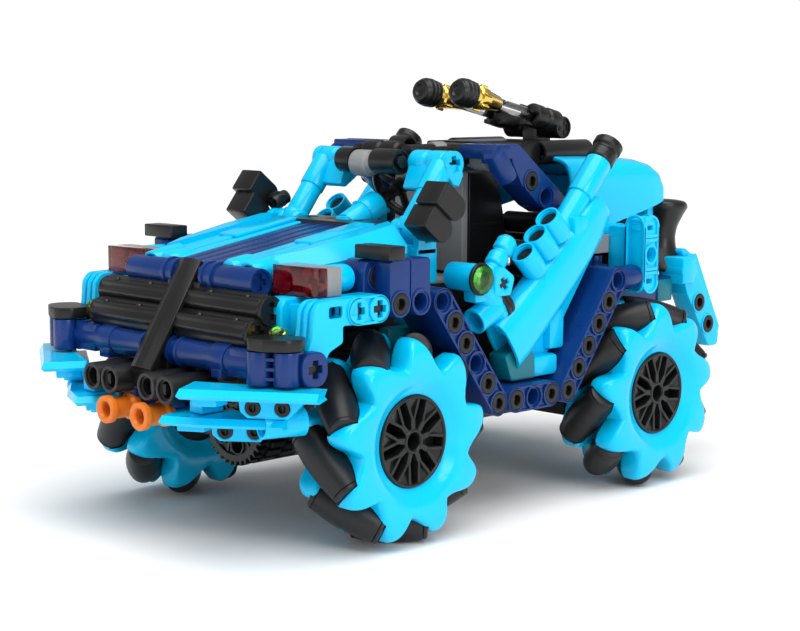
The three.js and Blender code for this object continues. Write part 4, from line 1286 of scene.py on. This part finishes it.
def build_rear():
    azure, black, navy, grey, azure_painted_shade = (Shape() for _ in range(5))
    # engine cover: one curved shell, high along the middle, rolling over to the sides
    sections = []
    for y, top, low, reach, thick in ((42.0, 104.6, 81.0, 29.8, 0.5), (42.4, 105.0, 80.8, 30.2, 1.4),
                                      (52, 104.8, 81.2, 30.3, 1.4), (64, 104.4, 82.6, 30.4, 1.4),
                                      (72, 104.0, 84.4, 30.4, 1.4), (80, 103.3, 86.0, 30.4, 1.6),
                                      (85.5, 102.0, 87.2, 30.3, 2.2), (89.4, 99.6, 88.2, 30.1, 4.0),
                                      (91.6, 95.6, 88.9, 29.7, 6.0)):
        section = []
        for shrink in (0, thick):
            arch = []
            for k in range(25):
                angle = math.pi * k / 24
                c, s = math.cos(angle), math.sin(angle)
                x = (reach - shrink) * math.copysign(abs(c) ** 0.22, c)
                height = max(top - shrink - low, 0.3)
                arch.append(Vector((x, y, low + height * abs(s) ** 0.26)))
            section += arch[::-1] if shrink else arch
        sections.append(section)
    azure += loft(sections)
    azure += block(-27, 27, 86.5, 90.2, 83, 96, 1.2)
    black += block(-24, 24, 44, 90, 76.5, 82.5, 0.8) + block(-26, 26, 76, 92, 57, 80, 0.8)
    black += block(-23, 23, 90.5, 97.5, 52.5, 68, 0.6)
    for side in (1, -1):
        waist = [(0, 0), (7.4, 0), (8.2, 1.2), (7.2, 4.0), (5.2, 8.5), (4.7, 12), (5.2, 15.5), (7.2, 20),
                 (8.6, 22.4), (7.6, 24.2), (4, 24.8), (0, 24.8)]
        black += along(lathe(waist, 40, 1.2), (side * 25, 96.4, 64.2), (side * 25, 98.0, 89))
        navy += block(side * 27.0, side * 33.4, 60, 92, 55.0, 63.4, 0.6)
        navy += block(side * 30.4, side * 37.6, 42.6, 51.8, 62.0, 70.5, 0.6)
        for y in (44.6, 49.4):
            navy += rod((side * 34, y, 70), (side * 34, y, 73.2), 2.2)
        grey += block(side * 27, side * 36, 44.4, 51.6, 75.4, 79.0, 0.5)
        for k in range(6):
            grey += block(side * (28 + 1.7 * k), side * (28.8 + 1.7 * k), 43.4, 52.4, 74.2, 80.0, 0.15, 1)
        azure += rod((side * 24, 56, 80), (side * 39.6, 56, 80), 3.5)
        azure += block(side * 24, side * 29, 50, 62, 78, 84)
        # tail: a slanted beam with two pin holes, a thin plank over it, and a pale plate at its end
        tail = rounded([(95.0, 62.0), (97.5, 69.4), (101.2, 67.8), (116.4, 41.6), (115.6, 37.6),
                        (110.4, 37.6), (97.0, 57)], 1.4)
        azure += yz_plate(tail, side * 29.4, side * 36.6, [circle(HOLE, spot) for spot in TAIL_HOLES], 0.4)
        for y, z in TAIL_HOLES:
            azure += ring_at(side * 36.7, y, z, COUNTERBORE, 3.7, 0.6)
            black += pin_end().moved(Matrix.Diagonal((side, 1, 1, 1)) @ side_matrix(36.7, y, z))
        plank = rounded([(97.0, 71.8), (100.2, 72.2), (104.4, 69.4), (119.4, 44.0), (118.6, 40.0),
                         (116.8, 40.0), (102.0, 66.0)], 1.2)
        azure += yz_plate(plank, side * 21.5, side * 33.5, (), 0.5)
        rim = rounded([(98.4, 70.6), (104.8, 70.2), (119.6, 43.8), (118.0, 38.8), (116.0, 40.4),
                       (103.6, 65.0)], 0.8)
        azure += yz_plate(rim, side * 33.4, side * 34.6, (), 0.25)
        azure += block(side * 27.5, side * 38.4, 92.0, 99.5, 60.6, 69.8, 1.2)
        azure += rod((side * 38.2, 96.2, 65.2), (side * 30, 96.2, 65.2), 4.4, bevel=1.0)
        grey += along(lathe([(0, 0), (5.6, 0), (5.6, 1.6), (0, 1.6)], 6, 0.2), (side * 27.5, 118.0, 41.6),
                      (side * 27.5, 119.6, 42.6))
        azure += block(side * 22, side * 32, 116.2, 119.0, 44, 52, 0.5)
        # painted shade: a dark teal block standing for azure in shade
        azure_painted_shade += block(side * 26, side * 34, 84, 92, 55, 62.5, 0.6)
    for part, material in ((azure, "azure"), (black, "black"), (navy, "navy"), (grey, "grey"),
                           (azure_painted_shade, "azure_painted_shade")):
        make(f"rear_{material}", material, part, ["rear_body"] if material == "azure" else ())


def build_chassis():
    """Floor pan, gearboxes and battery box, with plates, ribs and studded tops where they show."""
    black, navy, azure_painted_shade = Shape(), Shape(), Shape()
    black += block(-35.4, 35.4, -23.8, 23.8, 27.2, 30.8, 0.6)
    for y in range(-20, 24, 8):
        black += block(-35.4, 35.4, y - 0.5, y + 0.5, 30.6, 32.6, 0.2, 1)
    for x0, x1, y0, y1 in ((-33, -15.8, -66, -32), (15.8, 33, -66, -32), (-15.9, 15.9, -48.8, -32),
                           (-33, 33, 36, 68)):
        black += block(x0, x1, y0, y1, 22.2, 45.8, 0.8)
    black += block(-32.8, 32.8, -33, -23, 26.2, 40, 0.5) + block(-32.8, 32.8, 23, 37, 26.2, 40, 0.5)
    black += block(-25.8, 25.8, -35.8, 39.8, 30.4, 56.8, 1.0)
    black += block(-19.8, 19.8, -89.6, -32, 45.7, 55.8, 0.6) + block(-19.8, 19.8, 39, 89.4, 45.2, 55.8, 0.6)
    for side in (1, -1):
        for end in (1, -1):
            y = end * AXLE_Y
            boss = lathe([(2.9, 0), (5.4, 0), (5.4, 1.6), (2.9, 1.6), (2.9, 0)], 32, 0.3)
            black += along(boss, (side * 32.6, y, 30), (side * 36, y, 30))
            for dy in (-8, 8):
                black += rod((side * 32.6, y + dy, 40), (side * 33.8, y + dy, 40), 2.6)
        for y in range(-60, -33, 8):
            black += rod((side * 26, y, 45.6), (side * 26, y, 47.4), 2.4)
            black += block(side * 22, side * 30, y - 3.6, y + 3.6, 45.6, 52.0, 0.5)
        for y in range(-30, 36, 8):
            black += block(side * 25.6, side * 26.8, y - 0.6, y + 0.6, 31, 56, 0.2, 1)
        # painted shade: dark teal blocks standing for azure in shade
        azure_painted_shade += block(side * 29.0, side * 33.2, -44, -27, 52, 58, 0.6)
        navy += block(side * 20, side * 27.4, -88, -66, 58.2, 66, 0.6)
    make("chassis_black", "black", black, ["chassis"])
    make("chassis_navy", "navy", navy)
    make("chassis_azure_painted_shade", "azure_painted_shade", azure_painted_shade)


# ---------------------------------------------------------------- stage

def build_stage():
    mesh = bpy.data.meshes.new("floor")
    mesh.from_pydata([(-4, -4, 0), (4, -4, 0), (4, 4, 0), (-4, 4, 0)], [], [(0, 1, 2, 3)])
    floor = bpy.data.objects.new("floor", mesh)
    bpy.context.scene.collection.objects.link(floor)
    material, _, bsdf = shader("pale_floor")
    bsdf.inputs["Base Color"].default_value = (0.98, 0.975, 0.965, 1)
    bsdf.inputs["Roughness"].default_value = 0.65
    mesh.materials.append(material)


def add_light(name, place, target, size, power, colour=(1, 1, 1)):
    data = bpy.data.lights.new(name, "AREA")
    data.size = size
    data.energy = power
    data.color = colour
    light = bpy.data.objects.new(name, data)
    light.location = place
    light.rotation_euler = (Vector(target) - Vector(place)).to_track_quat("-Z", "Y").to_euler()
    bpy.context.scene.collection.objects.link(light)


def build_lights():
    """A pale studio sky, brightest at the horizon, a broad overhead sun and two soft boxes."""
    world = bpy.data.worlds.new("studio")
    world.use_nodes = True
    tree = world.node_tree
    back = tree.nodes["Background"]
    place = tree.nodes.new("ShaderNodeTexCoord")
    split = tree.nodes.new("ShaderNodeSeparateXYZ")
    ramp = tree.nodes.new("ShaderNodeValToRGB")
    ramp.color_ramp.elements[0].position = 0.05
    ramp.color_ramp.elements[0].color = (1, 1, 1, 1)
    ramp.color_ramp.elements[1].position = 0.17
    ramp.color_ramp.elements[1].color = (0.33, 0.33, 0.33, 1)
    tree.links.new(place.outputs["Generated"], split.inputs["Vector"])
    tree.links.new(split.outputs["Z"], ramp.inputs["Fac"])
    tree.links.new(ramp.outputs["Color"], back.inputs["Color"])
    back.inputs["Strength"].default_value = 1.06
    bpy.context.scene.world = world
    sun = bpy.data.lights.new("overhead", "SUN")
    sun.energy = 2.75
    sun.angle = math.radians(60)
    holder = bpy.data.objects.new("overhead", sun)
    holder.rotation_euler = Vector((-0.25, 0.2, -1.0)).to_track_quat("-Z", "Y").to_euler()
    bpy.context.scene.collection.objects.link(holder)
    add_light("right_key", (0.85, -0.18, 0.42), (0, 0, 0.05), 0.42, 2.7)
    add_light("front_fill", (-0.15, -0.95, 0.35), (0, 0, 0.06), 0.6, 1.0)


def build_camera():
    place = Vector((393.58, -405.56, 129.15))
    azimuth, elevation, roll = 0.77745, 0.13087, 0.00508
    data = bpy.data.cameras.new("camera")
    data.sensor_width = 36.0
    data.lens = 80.70
    data.clip_start = 0.01
    camera = bpy.data.objects.new("camera", data)
    forward = Vector((-math.sin(azimuth) * math.cos(elevation), math.cos(azimuth) * math.cos(elevation),
                      -math.sin(elevation)))
    camera.location = place * MM
    turn = forward.to_track_quat("-Z", "Y").to_matrix().to_4x4() @ Matrix.Rotation(roll, 4, "Z")
    camera.rotation_euler = turn.to_euler()
    bpy.context.scene.collection.objects.link(camera)
    bpy.context.scene.camera = camera


build_wheels()
build_side_frames()
build_bumper()
build_blades()
build_grille()
build_gear()
build_hood()
build_lamps()
build_cabin()
build_helm()
build_mirrors()
build_seat()
build_launcher()
build_cannon()
build_rear()
build_chassis()
build_stage()
build_lights()
build_camera()
bpy.context.scene.view_settings.view_transform = "Standard"
